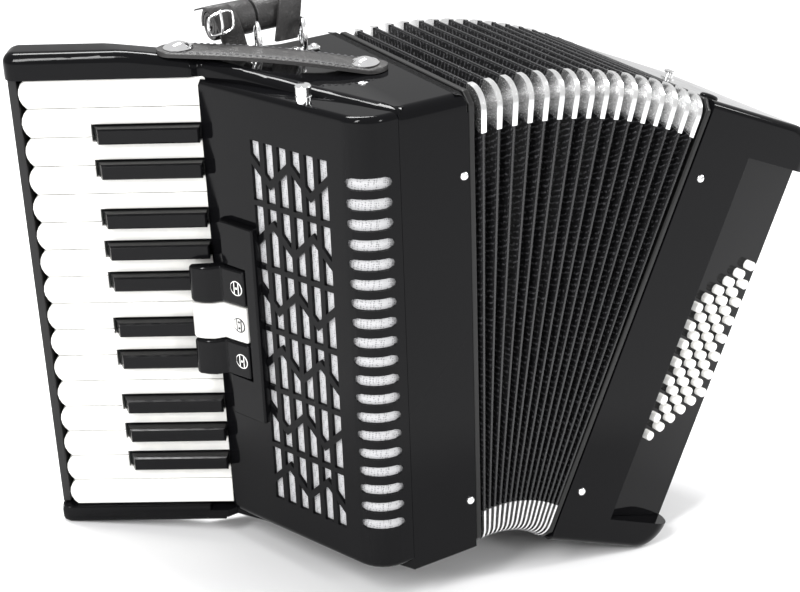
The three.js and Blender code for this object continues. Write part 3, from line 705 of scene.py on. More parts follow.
class ACCORDION_OT_treble_case(PieceOperator, bpy.types.Operator):
    """Treble case: the shell with its cheeks, and the rounded lid over it"""

    bl_idname = "accordion.treble_case"
    bl_label = "Treble case"

    def build(self):
        shell = carried("treble_case", "treble_shell")
        cut_at = TREBLE @ Vector((0, 0, LID_SEAM))
        up = (TREBLE.to_3x3() @ Vector((0, 0, 1))).normalized()
        edit(shell)
        bpy.ops.mesh.bisect(plane_co=cut_at, plane_no=up, clear_outer=True, use_fill=True)
        done()
        place(shell, "treble", finish("celluloid"), ["treble_case"], smoothing=35,
              weighted=True)
        lid = self.lid()
        place(lid, "treble", finish("celluloid"), smoothing=40, weighted=True)

    def lid(self):
        curve = [(-103, 24), (-85, -10), (-69, -43), (-58, -68)]
        corners = [
            (0, FRONT), (0, BACK), (-128.5, BACK), KEY(-8.5, -25), KEY(-8.5, 3), KEY(113, 3),
            KEY(119, -1.5), *curve, (-50.2, FRONT),
        ]
        radii = [2, 2, 0, 9, 9, 4, 4, 30, 30, 30, 20, 0.5]
        outline = fillet(corners, radii, 6)
        dense = []
        for i, p in enumerate(outline):
            q = outline[(i + 1) % len(outline)]
            pieces = max(1, int(math.dist(p, q) / 9))
            for k in range(pieces):
                t = k / pieces
                dense.append((p[0] + (q[0] - p[0]) * t, p[1] + (q[1] - p[1]) * t))
        r = sizes().lid_round
        rings = [[(x, y, -500.0) for x, y in dense], [(x, y, -r) for x, y in dense]]
        for a in np.linspace(15, 90, 6):
            inset = r * (1 - math.cos(math.radians(a)))
            drop = r * (1 - math.sin(math.radians(a)))
            rings.append([(x, y, -drop) for x, y in offset(dense, inset)])
        lid = loft("treble_lid", rings, Matrix.Identity(4), weld=MM)
        edit(lid)
        for x in range(-196, -4, 8):
            bpy.ops.mesh.select_all(action="SELECT")
            bpy.ops.mesh.bisect(plane_co=(x, 0, 0), plane_no=(1, 0, 0))
        done()
        for v in lid.data.vertices:
            x, y, z = v.co
            v.co.z = LID_SEAM if z < -100 else rise(x) + z
        edit(lid)
        bpy.ops.mesh.normals_make_consistent(inside=False)
        done()
        keyboard = [
            KEY(-30, -40), KEY(91, -40), KEY(91, -24.4), KEY(147, -24.4), KEY(147, 8), KEY(121, -3.5),
            KEY(117.5, -3.5), KEY(117.5, 12), KEY(-30, 12),
        ]
        carve(lid, prism("keyboard_room", keyboard, LID_SEAM - 20, 320.4, Matrix.Identity(4)))
        lid.data.transform(TREBLE)
        lid.data.update()
        return lid


# ------------------------------------------------------------------ grille
class ACCORDION_OT_grille(PieceOperator, bpy.types.Operator):
    """Grille cover with rounded rims, the cloth behind it and the register housing"""

    bl_idname = "accordion.grille"
    bl_label = "Grille"

    def build(self):
        cover = carried("grille_cover", "grille_cover_shell")
        inverse = TREBLE.inverted()
        edit(cover, "DESELECT")
        bpy.ops.mesh.select_mode(type="EDGE")
        done()
        mesh = cover.data
        for edge in mesh.edges:
            a, b = (inverse @ mesh.vertices[i].co for i in edge.vertices)
            level = min(a.z, b.z) > 318.3 or max(a.z, b.z) < -3.8
            front = all(self.on_front(p) for p in (a, b))
            edge.select = level and front and (a - b).length > 0.5
        bpy.ops.object.mode_set(mode="EDIT")
        bpy.ops.mesh.bevel(offset=4.2 * MM, segments=5, affect="EDGES", clamp_overlap=False)
        done()
        bpy.ops.object.mode_set(mode="EDIT")
        bpy.ops.mesh.select_mode(type="VERT")
        done()
        place(cover, "treble", finish("celluloid"), ["grille_cover"], smoothing=38,
              weighted=True)
        cloth = frame["nodes"]["grille_cloth"]
        cloth.data.materials.clear()
        cloth.data.materials.append(finish("silver_cloth"))
        housing = carried("register_housing", "register_plate", 0.8, 3)
        place(housing, "treble", finish("celluloid"), ["register_housing"], smoothing=35,
              weighted=True)

    @staticmethod
    def on_front(p):
        start = Vector(FACE(1.5, 0))
        if p.y < -82.2:
            return True
        s = Vector((math.cos(math.radians(-71.5)), math.sin(math.radians(-71.5))))
        d = Vector((p.x, p.y)) - start
        off = abs(d.x * s.y - d.y * s.x)
        centre = Vector((-59.75, -58.5))
        return off < 0.4 or abs((Vector((p.x, p.y)) - centre).length - 24) < 0.5


class ACCORDION_OT_registers(PieceOperator, bpy.types.Operator):
    """Three register rockers, each with a ring mark of bars and dots"""

    bl_idname = "accordion.registers"
    bl_label = "Registers"

    def build(self):
        for i in range(3):
            node = f"register_switch_{i + 1}"
            rocker = carried(node, f"register_rocker_{i + 1}", 1.0, 3, 30)
            smooth(rocker, 40, weighted=True)
            white = i == 1
            place(rocker, f"register_{i + 1}", finish("key_white" if white else "key_black"), [node])
            z = 181.0 - 27.2 * i
            spot = Vector((*FACE(30.2, 7.9), z))
            out = Vector((*FACE(0, 1), 0)) - Vector((*FACE(0, 0), 0))
            at = local(spot, (0, 0, 1), out)
            ring = [(5.0 * math.cos(a), 5.0 * math.sin(a), 0.0) for a in np.linspace(0, 2 * math.pi, 36)[:-1]]
            marks = [tube("mark", ring, 0.35, at, 6, closed=True)]
            for y in (-1.9, 1.9):
                h = math.sqrt(25 - y * y) - 0.3
                marks.append(tube("mark", [(-h, y, 0), (0, y, 0.02), (h, y, 0)], 0.35, at, 6))
            for x in ((0.0,), (-2.2, 2.2), (0.0,))[i]:
                marks.append(turned("mark", [(0.01, -0.4), (0.8, -0.4), (0.8, 0.25), (0.01, 0.35)],
                                    at @ Matrix.Translation((x, 0, 0)), 12))
            mark = merge(marks, f"register_mark_{i + 1}")
            place(mark, f"register_{i + 1}", finish("piping" if white else "enamel"), smoothing=50)


class ACCORDION_OT_keys(PieceOperator, bpy.types.Operator):
    """White and black keys with eased edges, on the lacquered keyboard bed"""

    bl_idname = "accordion.keys"
    bl_label = "Keys"

    def build(self):
        ease = sizes().key_ease
        for i in range(1, 17):
            node = f"white_key_{i:02d}"
            key = carried(node, f"white_key_top_{i:02d}", ease, 2, 50)
            place(key, f"white_{i:02d}", finish("key_white"), [node], smoothing=40,
                  weighted=True)
        for i in range(1, 11):
            node = f"black_key_{i:02d}"
            key = carried(node, f"black_key_cap_{i:02d}", ease * 1.3, 3, 25)
            place(key, f"black_{i:02d}", finish("key_black"), [node], smoothing=40,
                  weighted=True)
        bed = carried("keyboard_bed", "keyboard_base", 0.8, 2)
        place(bed, "treble", finish("lacquered_wood"), ["keyboard_bed"], smoothing=35,
              weighted=True)


# ------------------------------------------------------------------ bellows
FOLDS = 16
RIM = 0.6


def fold_ring(inset, steps=5):
    """The bellows' rounded outline in Y and Z at a depth below its rim, evenly matched."""
    y0, y1 = FRONT + RIM + inset, BACK - RIM - inset
    z0, z1 = FLOOR + RIM + inset, TOP - RIM - inset
    r = max(2.5, 13 - inset * 0.55)
    points = []
    for cy, cz, start in ((y1 - r, z1 - r, 0), (y0 + r, z1 - r, 90), (y0 + r, z0 + r, 180),
                          (y1 - r, z0 + r, 270)):
        points += arc(cy, cz, r, start, start + 90, steps)
    spread = []
    for i, p in enumerate(points):
        q = points[(i + 1) % len(points)]
        pieces = 1 if (i + 1) % (steps + 1) else (14 if i // (steps + 1) % 2 else 8)
        for k in range(pieces):
            t = k / pieces
            spread.append((p[0] + (q[0] - p[0]) * t, p[1] + (q[1] - p[1]) * t))
    return spread


def ride_fan(obj, share_of=None):
    """Bakes a piece's placement into its points and drops the share of the opening that each point stored."""
    values = np.zeros(len(obj.data.vertices), np.float32)
    obj.data.attributes["share"].data.foreach_get("value", values)
    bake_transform(obj)
    obj.data.attributes.remove(obj.data.attributes["share"])


class ACCORDION_OT_bellows(PieceOperator, bpy.types.Operator):
    """Bellows: sixteen embossed folds with piping, between two lacquered frames"""

    bl_idname = "accordion.bellows"
    bl_label = "Bellows"

    def build(self):
        depth = sizes().fold_depth
        rings, shares, phase = [], [], []
        around = None
        for k in range(FOLDS * 2 + 1):
            peak = k % 2
            for side in ((-0.32, 0.32) if peak else (-0.15, 0.15)):
                f = min(1.0, max(0.0, (k + side) / (FOLDS * 2)))
                outline = fold_ring(0.0 if peak else depth)
                matrix = fan(f)
                x = BELLOWS_START + BELLOWS_LENGTH * f
                rings.append([matrix @ Vector((x, y, z)) for y, z in outline])
                shares.append(f)
                phase.append((k + side) / 2)
        outline = fold_ring(0.0)
        around = [0.0]
        for i in range(len(outline)):
            around.append(around[-1] + math.dist(outline[i], outline[(i + 1) % len(outline)]))
        skin = loft("bellows_folds", rings, Matrix.Identity(4), caps=False,
                    uv=lambda i, j: (around[j], phase[i]), mark=shares)
        apply_modifier(skin, "SOLIDIFY", thickness=0.7 * MM, offset=-1.0)
        smooth(skin, 28)
        skin.data.materials.append(finish("bellows_cloth"))
        ride_fan(skin)
        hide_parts(*[f"bellows_folds_{i}" for i in range(1, 9)])
        self.piping()
        self.lining()
        for side in ("treble", "bass"):
            node = f"bellows_frame_{side}"
            ring = carried(node, f"bellows_end_{side}", 1.2, 3)
            place(ring, side, finish("lacquered_wood"), [node], smoothing=40,
                  weighted=True)

    def lining(self):
        """White lining tape that shows as a narrow tapering line down three of the valleys."""
        tapes = []
        for valley, low in ((3, 60.0), (6, 120.0), (8, 190.0), (1, 250.0)):
            f = valley / FOLDS
            rings = []
            for z in np.linspace(low, 291, 8):
                w = 0.35 + 1.5 * (z - low) / (291 - low)
                y = FRONT + 9.0
                spot = BELLOWS_START + BELLOWS_LENGTH * f
                rings.append([(spot - w, y + 0.5, z), (spot, y, z), (spot + w, y + 0.5, z),
                              (spot, y + 0.9, z)])
            tape = loft("tape", rings, fan(f))
            share = tape.data.attributes.new("share", "FLOAT", "POINT")
            share.data.foreach_set("value", np.full(len(tape.data.vertices), f, np.float32))
            tapes.append(tape)
        strip = merge(tapes, "bellows_lining")
        smooth(strip, 60)
        strip.data.materials.append(finish("enamel"))
        ride_fan(strip)

    def piping(self):
        radius = sizes().piping_radius
        beads = []
        for k in range(FOLDS):
            f = (k + 0.5) / FOLDS
            x = BELLOWS_START + BELLOWS_LENGTH * f
            path = [(x, y, z) for y, z in fold_ring(-0.2)]
            bead = tube("bead", path, radius, fan(f), 8, closed=True)
            share = bead.data.attributes.new("share", "FLOAT", "POINT")
            share.data.foreach_set("value", np.full(len(bead.data.vertices), f, np.float32))
            beads.append(bead)
        strip = merge(beads, "bellows_piping")
        smooth(strip, 60)
        strip.data.materials.append(finish("piping"))
        ride_fan(strip)


class ACCORDION_OT_bellows_corners(PieceOperator, bpy.types.Operator):
    """Bright metal corner plates folded over every fold's four corners"""

    bl_idname = "accordion.bellows_corners"
    bl_label = "Bellows corners"

    def build(self):
        plates = []
        for k in range(FOLDS):
            f = (k + 0.5) / FOLDS
            for corner in range(4):
                plates.append(self.plate(f, corner))
        plate = merge(plates, "bellows_corner_plates")
        smooth(plate, 42)
        plate.data.materials.append(finish("corner_nickel"))
        ride_fan(plate)

    def plate(self, f, corner):
        reach = sizes().corner_reach
        back = 15.0
        y0, y1, z0, z1 = FRONT + RIM, BACK - RIM, FLOOR + RIM, TOP - RIM
        cy = y0 if corner in (0, 1) else y1
        cz = z1 if corner in (0, 3) else z0
        sy = 1 if corner in (0, 1) else -1
        sz = -1 if corner in (0, 3) else 1
        depth = sizes().fold_depth
        levels = (17.0, 9.0, 1.2, 0.0, -1.2, -9.0, -17.0)
        rings = []
        shares = []
        for level in levels:
            inset = max(0.0, abs(level) - 1.2)
            share_step = (0.16 + 0.26 * inset / depth) / FOLDS if inset else 0.13 / FOLDS * abs(level)
            share = f + math.copysign(share_step, level)
            out = 1.0 if not inset else 0.7
            r = max(2.5, 13 - inset * 0.55) + out
            a = inset - out
            side = reach - inset * 0.15 + (1.6 if not inset else 0.0)
            top = back + inset * 0.2
            path = [(a, side), (a, (side + r) / 2)]
            bend = np.linspace(0, math.pi / 2, 7)
            path += [(a + r - r * math.cos(t), a + r - r * math.sin(t)) for t in bend]
            path += [((top + r) / 2 + a / 2, a), (top, a)]
            matrix = fan(share)
            x = BELLOWS_START + BELLOWS_LENGTH * share
            rings.append([matrix @ Vector((x, cy + sy * u, cz + sz * v)) for u, v in path])
            shares.append(share)
        obj = loft("plate", rings, Matrix.Identity(4), cyclic=False, caps=False, mark=shares)
        apply_modifier(obj, "SOLIDIFY", thickness=0.5 * MM, offset=0.0)
        edit(obj)
        bpy.ops.mesh.normals_make_consistent(inside=False)
        done()
        return obj


# ------------------------------------------------------------------ bass side
class ACCORDION_OT_bass_case(PieceOperator, bpy.types.Operator):
    """Bass case with its recessed button board"""

    bl_idname = "accordion.bass_case"
    bl_label = "Bass case"

    def build(self):
        case = self.shell()
        place(case, "bass", finish("celluloid"), ["bass_case"], smoothing=38,
              weighted=True)
        board = carried("bass_button_board", "bass_board")
        place(board, "bass", finish("celluloid"), ["bass_button_board"], smoothing=30)

    def shell(self):
        """A pillow-edged box: round at its outer corners, small at its other edges."""
        small, plan_r, side_r = 5.0, 20.0, 26.0
        front, back, low, high = FRONT, BACK, FLOOR, TOP
        steps = [plan_r * (1 - math.cos(a)) for a in np.linspace(0.0, math.pi / 2, 11)]
        shares = [(front + d, d) for d in steps] + [(back - d, d) for d in steps[::-1]]
        rings = []
        for y, d in shares:
            x_in = plan_r - math.sqrt(max(0.0, plan_r**2 - (plan_r - d) ** 2))
            near = max(0.0, small - d)
            z_in = small - math.sqrt(max(0.0, small**2 - near**2))
            x1, z0, z1 = BASS_WIDTH - x_in, low + z_in, high - z_in
            r = max(8.0, side_r - x_in * 0.4)
            outline = [(0.4, z0), (x1 * 0.5, z0)]
            outline += arc(x1 - r, z0 + r, r, 270, 360, 12)
            outline += arc(x1 - r, z1 - r, r, 0, 90, 12)
            outline += [(x1 * 0.5, z1), (0.4, z1)]
            rings.append([(x, y, z) for x, z in outline])
        case = loft("bass_shell", rings, Matrix.Identity(4), weld=MM)
        recess = [(49.7, -100), (140, -100), BOARD(92, -2.3), BOARD(0, -2.3)]
        carve(case, prism("recess", recess, 9.5, 289, Matrix.Identity(4)))
        well = [BOARD(3, 4), BOARD(60, 4), BOARD(60, -13), BOARD(3, -13)]
        carve(case, prism("well", well, 15.5, 283, Matrix.Identity(4)))
        case.data.transform(BASS)
        case.data.update()
        apply_modifier(case, "BEVEL", width=0.7 * MM, segments=3, limit_method="ANGLE",
                       angle_limit=math.radians(50), use_clamp_overlap=True)
        return case


class ACCORDION_OT_bass_buttons(PieceOperator, bpy.types.Operator):
    """Six rows of eight domed bass buttons, and the air button on the outer side"""

    bl_idname = "accordion.bass_buttons"
    bl_label = "Bass buttons"

    def build(self):
        r = sizes().button_radius
        out = Vector((*BOARD(0, 1), 0)) - Vector((*BOARD(0, 0), 0))
        profile = [(0, -6.4), (2.2, -6.4), (2.2, -5.9), (r, -5.9)]
        profile += [(r, 5.3), (r - 0.25, 5.8), (r - 0.8, 6.1), (r * 0.45, 6.25), (0, 6.3)]
        for row in range(6):
            buttons = []
            for i in range(8):
                x, y = BOARD(9.8 + 8.8 * row, 0)
                z = 76 + 7.3 * row + 14.35 * i
                buttons.append(turned("button", profile, local((x, y, z), (0, 0, 1), out, BASS), 20))
            line = merge(buttons, f"bass_buttons_{row + 1}")
            smooth(line, 45)
            node = f"bass_buttons_row_{row + 1}"
            place(line, f"bass_row_{row + 1}", finish("button_white"), [node])
        at = local((118, -22, 262), (0, 0, 1), (1, 0, 0), BASS)
        shape = [(0, -6), (4.8, -6), (4.8, 5), (7.2, 5.4), (8, 6.2), (8, 8.6), (7.3, 10), (5, 10.8),
                 (0, 11)]
        air = turned("air_button_cap", shape, at, 36)
        place(air, "air", finish("button_white"), ["air_button"], smoothing=40)


# ------------------------------------------------------------------ straps
def band(name, stations, width, thick, matrix, bulge=0.6):
    """A leather band: stations are (centre, along, across, out) frames with a width share."""
    rings = []
    for centre, across, out, share in stations:
        w = width * share / 2
        ring = []
        crown = 1.0 + bulge * 0.16
        outline = ((-1, 0.0), (-0.97, 0.75), (-0.88, 1.0), (-0.4, crown), (0, 1.0 + bulge * 0.2),
                   (0.4, crown), (0.88, 1.0), (0.97, 0.75), (1, 0.0), (0.9, -0.05), (0, -0.05),
                   (-0.9, -0.05))
        for u, v in outline:
            ring.append(centre + across * (u * w) + out * (v * thick))
        rings.append(ring)
    return loft(name, rings, matrix)


def stitches(name, points, ups, length, radius, matrix):
    """Short raised stitches along a line of points."""
    made = []
    for p, q in zip(points[:-1:2], points[1::2]):
        middle = (p + q) / 2
        made.append(tube(name, [p, middle + ups * 0.25, q], radius, matrix, 6))
    return merge(made, name)


def strap_height(u):
    """The strap lies on the lid at both ends and spans the dip between them."""
    t = min(1.0, max(0.0, u / 124.0))
    ends = [rise(STRAP(d, 0)[0]) for d in (0, 124)]
    return ends[0] + (ends[1] - ends[0]) * t + 0.5 + 2.2 * math.sin(math.pi * t)


class ACCORDION_OT_bellows_strap(PieceOperator, bpy.types.Operator):
    """Stitched leather strap lying over the treble lid, with a dome snap at each end"""

    bl_idname = "accordion.bellows_strap"
    bl_label = "Bellows strap"

    def build(self):
        across = Vector((*STRAP(0, 1), 0)) - Vector((*STRAP(0, 0), 0))
        stations = []
        lines = {-1: [], 1: []}
        total = 124.0
        for u in [-12 + 12 * (1 - math.cos(t)) for t in np.linspace(0.12, math.pi / 2, 6)] + list(
            np.linspace(8, total - 8, 18)
        ) + [total + 12 * math.sin(t) for t in np.linspace(0, math.pi / 2 - 0.12, 6)]:
            x, y = STRAP(u, 0)
            over = max(0.0, -u, u - total)
            share = math.sqrt(max(0.0, 1 - (over / 12) ** 2))
            centre = Vector((x, y, strap_height(u)))
            stations.append((centre, across, Vector((0, 0, 1)), max(0.2, share)))
        strap = band("bellows_strap_leather", stations, 24, 3.0, TREBLE)
        smooth(strap, 40)
        for side in (-1, 1):
            for u in np.arange(-2, total + 2, 2.1):
                x, y = STRAP(u, side * 9.6)
                lines[side].append(Vector((x, y, strap_height(u) + 3.35)))
        seam = merge([
            stitches("seam", lines[s], Vector((0, 0, 1)), 2, 0.32, TREBLE) for s in (-1, 1)
        ], "bellows_strap_seam")
        place(strap, "treble", finish("leather"), ["bellows_strap"])
        place(seam, "treble", finish("thread"))
        snaps = []
        for u in (2.0, total - 3.0):
            x, y = STRAP(u, 0)
            at = local((x, y, strap_height(u) + 3.1), (1, 0, 0), (0, 0, 1))
            dome = [(0, 0), (9.4, 0), (9.7, 0.7), (8.8, 1.5), (7.3, 1.3), (6.8, 1.9), (5.2, 3.2),
                    (2.8, 4.1),
                    (0, 4.4)]
            snaps.append(turned("snap", dome, at, 32))
        snap = merge(snaps, "bellows_strap_snaps")
        place(snap, "treble", finish("chrome"), smoothing=40)


class ACCORDION_OT_shoulder_straps(PieceOperator, bpy.types.Operator):
    """Rolled shoulder straps held in the wire bracket, with their buckle"""

    bl_idname = "accordion.shoulder_straps"
    bl_label = "Shoulder straps"

    def build(self):
        rolls = []
        for x0, x1, shift in ((-95, -66, 0.0), (-64, -35, 0.7)):
            rings = []
            turns = 2.55
            path = []
            for t in np.linspace(0, 1, 60):
                a = t * turns * 2 * math.pi + shift
                r = 4.0 + t * 9.3
                path.append((r * math.cos(a), r * math.sin(a), a))
            inner = [((4.0 + t * 9.3 - 2.7) * math.cos(a), (4.0 + t * 9.3 - 2.7) * math.sin(a))
                     for t, (_, _, a) in zip(np.linspace(0, 1, 60), path)]
            section = [(p[0], p[1]) for p in path] + inner[::-1]
            for x, grow in ((x0, 0.94), (x0 + 0.9, 1.0), ((x0 + x1) / 2, 1.0), (x1 - 0.9, 1.0), (x1, 0.94)):
                rings.append([(x, 80 - u * grow, 341.8 + v * grow) for u, v in section])
            roll = loft("roll", rings, TREBLE)
            rolls.append(roll)
        roll = merge(rolls, "shoulder_strap_rolls")
        place(roll, "treble", finish("leather"), ["shoulder_straps"], smoothing=40)
        self.tails()
        self.bracket()

    def tails(self):
        parts = []
        for x, lean in ((-84, -14), (-47, 10)):
            stations = []
            for t in np.linspace(0, 1, 12):
                y = 66 - 5 * math.sin(math.pi * t) + 12 * t
                z = 327 + 29 * math.sin(math.pi * min(1, t * 1.05) * 0.62)
                centre = Vector((x + lean * t, y, z))
                d = Vector((lean, 12 - 5 * math.pi * math.cos(math.pi * t), 29)).normalized()
                across = Vector((1, 0, 0))
                out = across.cross(d).normalized()
                stations.append((centre, across, out, 1.0))
            parts.append(band("tail", stations, 17, 2.4, TREBLE))
        tail = merge(parts, "shoulder_strap_tails")
        place(tail, "treble", finish("leather"), smoothing=40)
        rim = [(-105, 60, 342), (-105, 60, 352), (-103, 61, 354), (-89, 61, 356), (-87, 60, 354),
               (-87, 60, 344), (-89, 60, 342), (-103, 60, 340)]
        buckle = tube("strap_buckle", rim, 1.1, TREBLE, 10, closed=True)
        apply_modifier(buckle, "SUBSURF", levels=1, render_levels=1)
        prong = tube("prong", [(-96, 59, 341), (-96, 57.6, 348), (-96, 60, 357)], 0.9, TREBLE, 8)
        buckle = merge([buckle, prong], "strap_buckle")
        place(buckle, "treble", finish("chrome"), smoothing=60)

    def bracket(self):
        parts = []
        c, s = math.cos(math.radians(70)), math.sin(math.radians(70))
        for x, z in ((-73, 323.5), (-40, 320.4)):
            flat = [(-9.5, 1.0), (-10.2, 8)]
            flat += [(10.2 * math.cos(a), 11 + 10.2 * math.sin(a)) for a in np.linspace(math.pi, 0, 12)]
            flat += [(10.2, 8), (9.5, 0.6)]
            path = [(x + w * c, 54.5 + w * s, z + h) for w, h in flat]
            parts.append(tube("loop", path, 1.7, TREBLE, 12))
        for x in (-80, -66, -47, -33):
            at = local((x, 53, rise(x) + 2.9), (1, 0, 0), (0, 0, 1))
            parts.append(turned("rivet", [(0, 0), (2.4, 0), (2.2, 0.7), (1.2, 1.2), (0, 1.4)], at, 20))
        wires = merge(parts, "strap_bracket_wires")
        place(wires, "treble", finish("chrome"), smoothing=45)
        bar = [(-82, 50.5), (-30, 47.5), (-30, 55), (-82, 58)]
        foot = prism("strap_bracket_foot", fillet(bar, 2.5, 4), 0.3, 2.9, Matrix.Identity(4))
        edit(foot)
        for x in range(-80, -30, 5):
            bpy.ops.mesh.select_all(action="SELECT")
            bpy.ops.mesh.bisect(plane_co=(x, 0, 0), plane_no=(1, 0, 0))
        done()
        for v in foot.data.vertices:
            v.co.z += rise(v.co.x)
        foot.data.transform(TREBLE)
        apply_modifier(foot, "BEVEL", width=0.6 * MM, segments=2, limit_method="ANGLE")
        place(foot, "treble", finish("chrome"), ["strap_bracket"], smoothing=40)


class ACCORDION_OT_bass_strap(PieceOperator, bpy.types.Operator):
    """Padded hand strap bowed over the bass side's outer face, with stitching and end plates"""

    bl_idname = "accordion.bass_strap"
    bl_label = "Bass strap"

    def build(self):
        stations = []
        lines = {-1: [], 1: []}
        for t in np.linspace(0, 1, 34):
            bow = math.sin(math.pi * t) ** 0.7
            centre = Vector((118.4 + 24 * bow, 32, 22 + 262 * t))
            stations.append((centre, Vector((0, 1, 0)), Vector((1, 0, 0)), 1.0))
        strap = band("bass_strap_leather", stations, 60, 3.0, BASS, bulge=1.0)
        place(strap, "bass", finish("leather"), ["bass_strap"], smoothing=40)
        for t in np.linspace(0.03, 0.97, 120):
            bow = math.sin(math.pi * t) ** 0.7
            for side in (-1, 1):
                lines[side].append(Vector((118.4 + 24 * bow + 3.2, 32 + side * 25.5, 22 + 262 * t)))
        seam = merge([stitches("seam", lines[s], Vector((1, 0, 0)), 2, 0.35, BASS) for s in (-1, 1)],
                     "bass_strap_seam")
        place(seam, "bass", finish("thread"))
        plates = []
        for z in (20, 286):
            for y in (12, 32, 52):
                at = local((119.0, y, z + (5 if z < 100 else -5)), (0, 0, 1), (1, 0, 0), BASS)
                plates.append(turned("screw", [(0, 2.0), (3.2, 2.0), (3.0, 3.6), (1.6, 4.4), (0, 4.6)],
                                     at, 20))
        screws = merge(plates, "bass_strap_screws")
        place(screws, "bass", finish("chrome"), smoothing=40)


class ACCORDION_OT_fittings(PieceOperator, bpy.types.Operator):
    """Bright pins of the bellows frames, the grille knob, feet and inner parts"""

    bl_idname = "accordion.fittings"
    bl_label = "Fittings"

    def build(self):
        dome = [(0, -1.5), (3.0, -1.5), (3.0, 0.5), (2.7, 1.3), (1.8, 2.0), (0, 2.3)]
        for side, base, x in (("treble", TREBLE, -4.4), ("bass", BASS, 11.4)):
            pins = []
            for z in (28.9, 147.8, 266.8):
                for y, out in ((FRONT, -1), (BACK, 1)):
                    if z == 147.8 and out < 0:
                        continue
                    pins.append(turned("pin", dome, local((x, y, z), (0, 0, 1), (0, out, 0), base), 24))
            pin = merge(pins, f"bellows_pins_{side}")
            place(pin, side, finish("chrome"), smoothing=40)
        at = local((33, 6, 319.8), (1, 0, 0), (0, 0, 1), BASS)
        stud = turned("bass_strap_stud", [(0, 0), (5.0, 0), (5.0, 0.8), (3.4, 1.2), (3.0, 4.2), (4.2, 4.6),
                                          (4.2, 5.8), (3.2, 6.6), (0, 6.8)], at, 28)
        place(stud, "bass", finish("chrome"), smoothing=40)
        at = local((10, -64, 319.8), (1, 0, 0), (0, 0, 1), BASS)
        dome = [(0, 0), (6.4, 0), (6.4, 1.2), (5.4, 2.2), (2.5, 2.7), (0, 2.8)]
        oval = turned("bass_top_plug", dome, at, 28)
        place(oval, "bass", finish("key_black"), smoothing=40)
        x, y = FACE(88, -7)
        at = local((x, y, 318.3), (1, 0, 0), (0, 0, 1))
        knob = turned("grille_knob", [(0, 0), (4.6, 0), (4.6, 1.2), (5.2, 1.6), (5.2, 4.0), (4.7, 4.4),
                                      (4.7, 5.0), (5.2, 5.4), (5.2, 10.4), (4.6, 11.2), (1.2, 11.5),
                                      (0, 11.5)], at, 36)
        place(knob, "treble", finish("chrome"), smoothing=35)
        feet = []
        for x, y in ((26, -66), (26, 66), (60, -66), (60, 66)):
            at = local((x, y, -12), (1, 0, 0), (0, 0, -1), BASS)
            feet.append(turned("foot", [(0, -0.5), (5.5, -0.5), (5.2, 1.6), (4.0, 2.4), (0, 2.6)], at, 28))
        foot = merge(feet, "bass_feet")
        place(foot, "bass", finish("felt"), smoothing=40)
        inner = (("treble_reed_block", "wood"), ("bass_reed_block", "wood"), ("key_axle", "steel"))
        for node, look in inner:
            data = frame["nodes"][node].data
            data.materials.clear()
            data.materials.append(finish(look))


# ------------------------------------------------------------------ stage
CAMERA_PLACE = (-570, -958, 684.5)  # in the treble case's frame, in millimetres
CAMERA_ANGLES = (64.37, 1.95, -31.45)  # tilt, roll and heading in that frame, in degrees
CAMERA_LENS = 80.6  # in millimetres


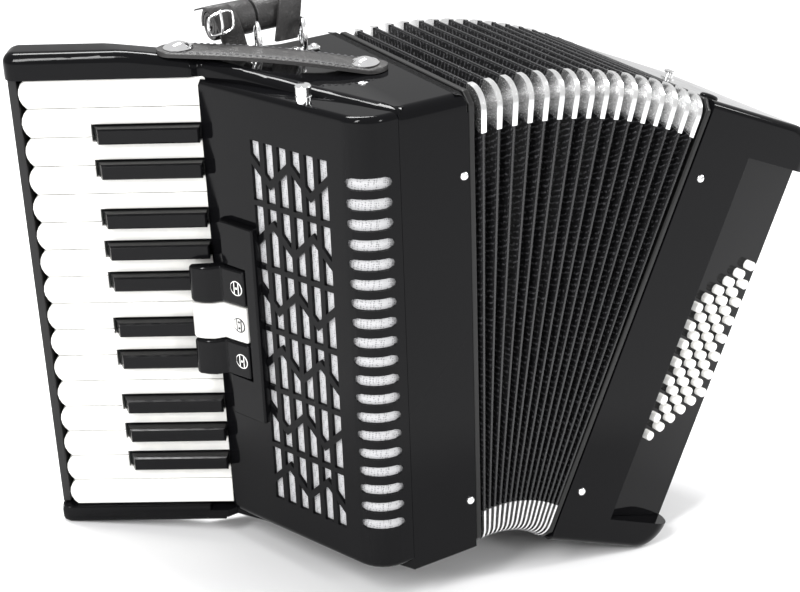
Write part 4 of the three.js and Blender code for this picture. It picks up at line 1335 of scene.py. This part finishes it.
class ACCORDION_OT_stage(PieceOperator, bpy.types.Operator):
    """Pale floor, soft studio lights and the camera"""

    bl_idname = "accordion.stage"
    bl_label = "Stage"

    def build(self):
        clear_selection()
        bpy.ops.mesh.primitive_plane_add(size=14, location=(0, 0, 0))
        floor = bpy.context.object
        floor.name = "studio_floor"
        floor.data.materials.append(finish("studio_floor"))
        world = bpy.data.worlds.new("studio")
        bpy.context.scene.world = world
        world.use_nodes = True
        background = world.node_tree.nodes["Background"]
        background.inputs[0].default_value = (1, 1, 1, 1)
        background.inputs[1].default_value = 0.68
        bpy.context.scene.view_settings.view_transform = "Standard"
        for name, spot, aim, size, power in (
            ("left_light", (-1.7, -0.9, 1.5), (-0.1, 0, 0.2), (0.25, 1.1), 42),
            ("front_light", (0.3, -2.3, 1.3), (0.05, 0, 0.2), (0.22, 0.8), 20),
            ("right_light", (1.9, -0.8, 1.6), (0.1, 0, 0.2), (0.22, 0.9), 28),
            ("top_light", (-0.2, 0.9, 2.1), (0, 0, 0.25), (1.3, 0.35), 70),
        ):
            clear_selection()
            bpy.ops.object.light_add(type="AREA", location=spot)
            lamp = bpy.context.object
            lamp.name = name
            lamp.data.shape = "RECTANGLE"
            lamp.data.size, lamp.data.size_y = size
            lamp.data.energy = power
            lamp.rotation_euler = (Vector(aim) - Vector(spot)).to_track_quat("-Z", "Y").to_euler()
        self.camera()

    def camera(self):
        turned_by = Euler([math.radians(angle) for angle in CAMERA_ANGLES])
        turn = TREBLE.to_3x3().normalized() @ turned_by.to_matrix()
        matrix = Matrix.Translation(TREBLE @ Vector(CAMERA_PLACE)) @ turn.to_4x4()
        clear_selection()
        bpy.ops.object.camera_add()
        camera = bpy.context.object
        camera.matrix_world = matrix
        camera.data.lens = CAMERA_LENS
        camera.data.sensor_width = 36
        camera.data.clip_start = 0.05
        bpy.context.scene.camera = camera


PIECES = (
    ACCORDION_OT_treble_case, ACCORDION_OT_grille, ACCORDION_OT_registers, ACCORDION_OT_keys,
    ACCORDION_OT_bellows, ACCORDION_OT_bellows_corners, ACCORDION_OT_bass_case,
    ACCORDION_OT_bass_buttons, ACCORDION_OT_bellows_strap, ACCORDION_OT_shoulder_straps,
    ACCORDION_OT_bass_strap, ACCORDION_OT_fittings, ACCORDION_OT_stage,
)


class ACCORDION_PT_panel(bpy.types.Panel):
    """Sizes, colours and the pieces of the accordion"""

    bl_idname = "ACCORDION_PT_panel"
    bl_label = "Piano accordion"
    bl_space_type = "VIEW_3D"
    bl_region_type = "UI"
    bl_category = "Accordion"

    def draw(self, context):
        for group in (context.scene.accordion_sizes, context.scene.accordion_colours):
            for name in group.bl_rna.properties.keys():
                if name not in ("rna_type", "name"):
                    self.layout.prop(group, name)
        for piece in PIECES:
            self.layout.operator(piece.bl_idname)


CLASSES = (AccordionSizes, AccordionColours, *PIECES, ACCORDION_PT_panel)


def register():
    for cls in CLASSES:
        bpy.utils.register_class(cls)
    bpy.types.Scene.accordion_sizes = bpy.props.PointerProperty(type=AccordionSizes)
    bpy.types.Scene.accordion_colours = bpy.props.PointerProperty(type=AccordionColours)


def unregister():
    del bpy.types.Scene.accordion_sizes
    del bpy.types.Scene.accordion_colours
    for cls in reversed(CLASSES):
        bpy.utils.unregister_class(cls)


def main():
    register()
    for piece in PIECES:
        group, name = piece.bl_idname.split(".")
        getattr(getattr(bpy.ops, group), name)()


if __name__ == "__main__":
    main()
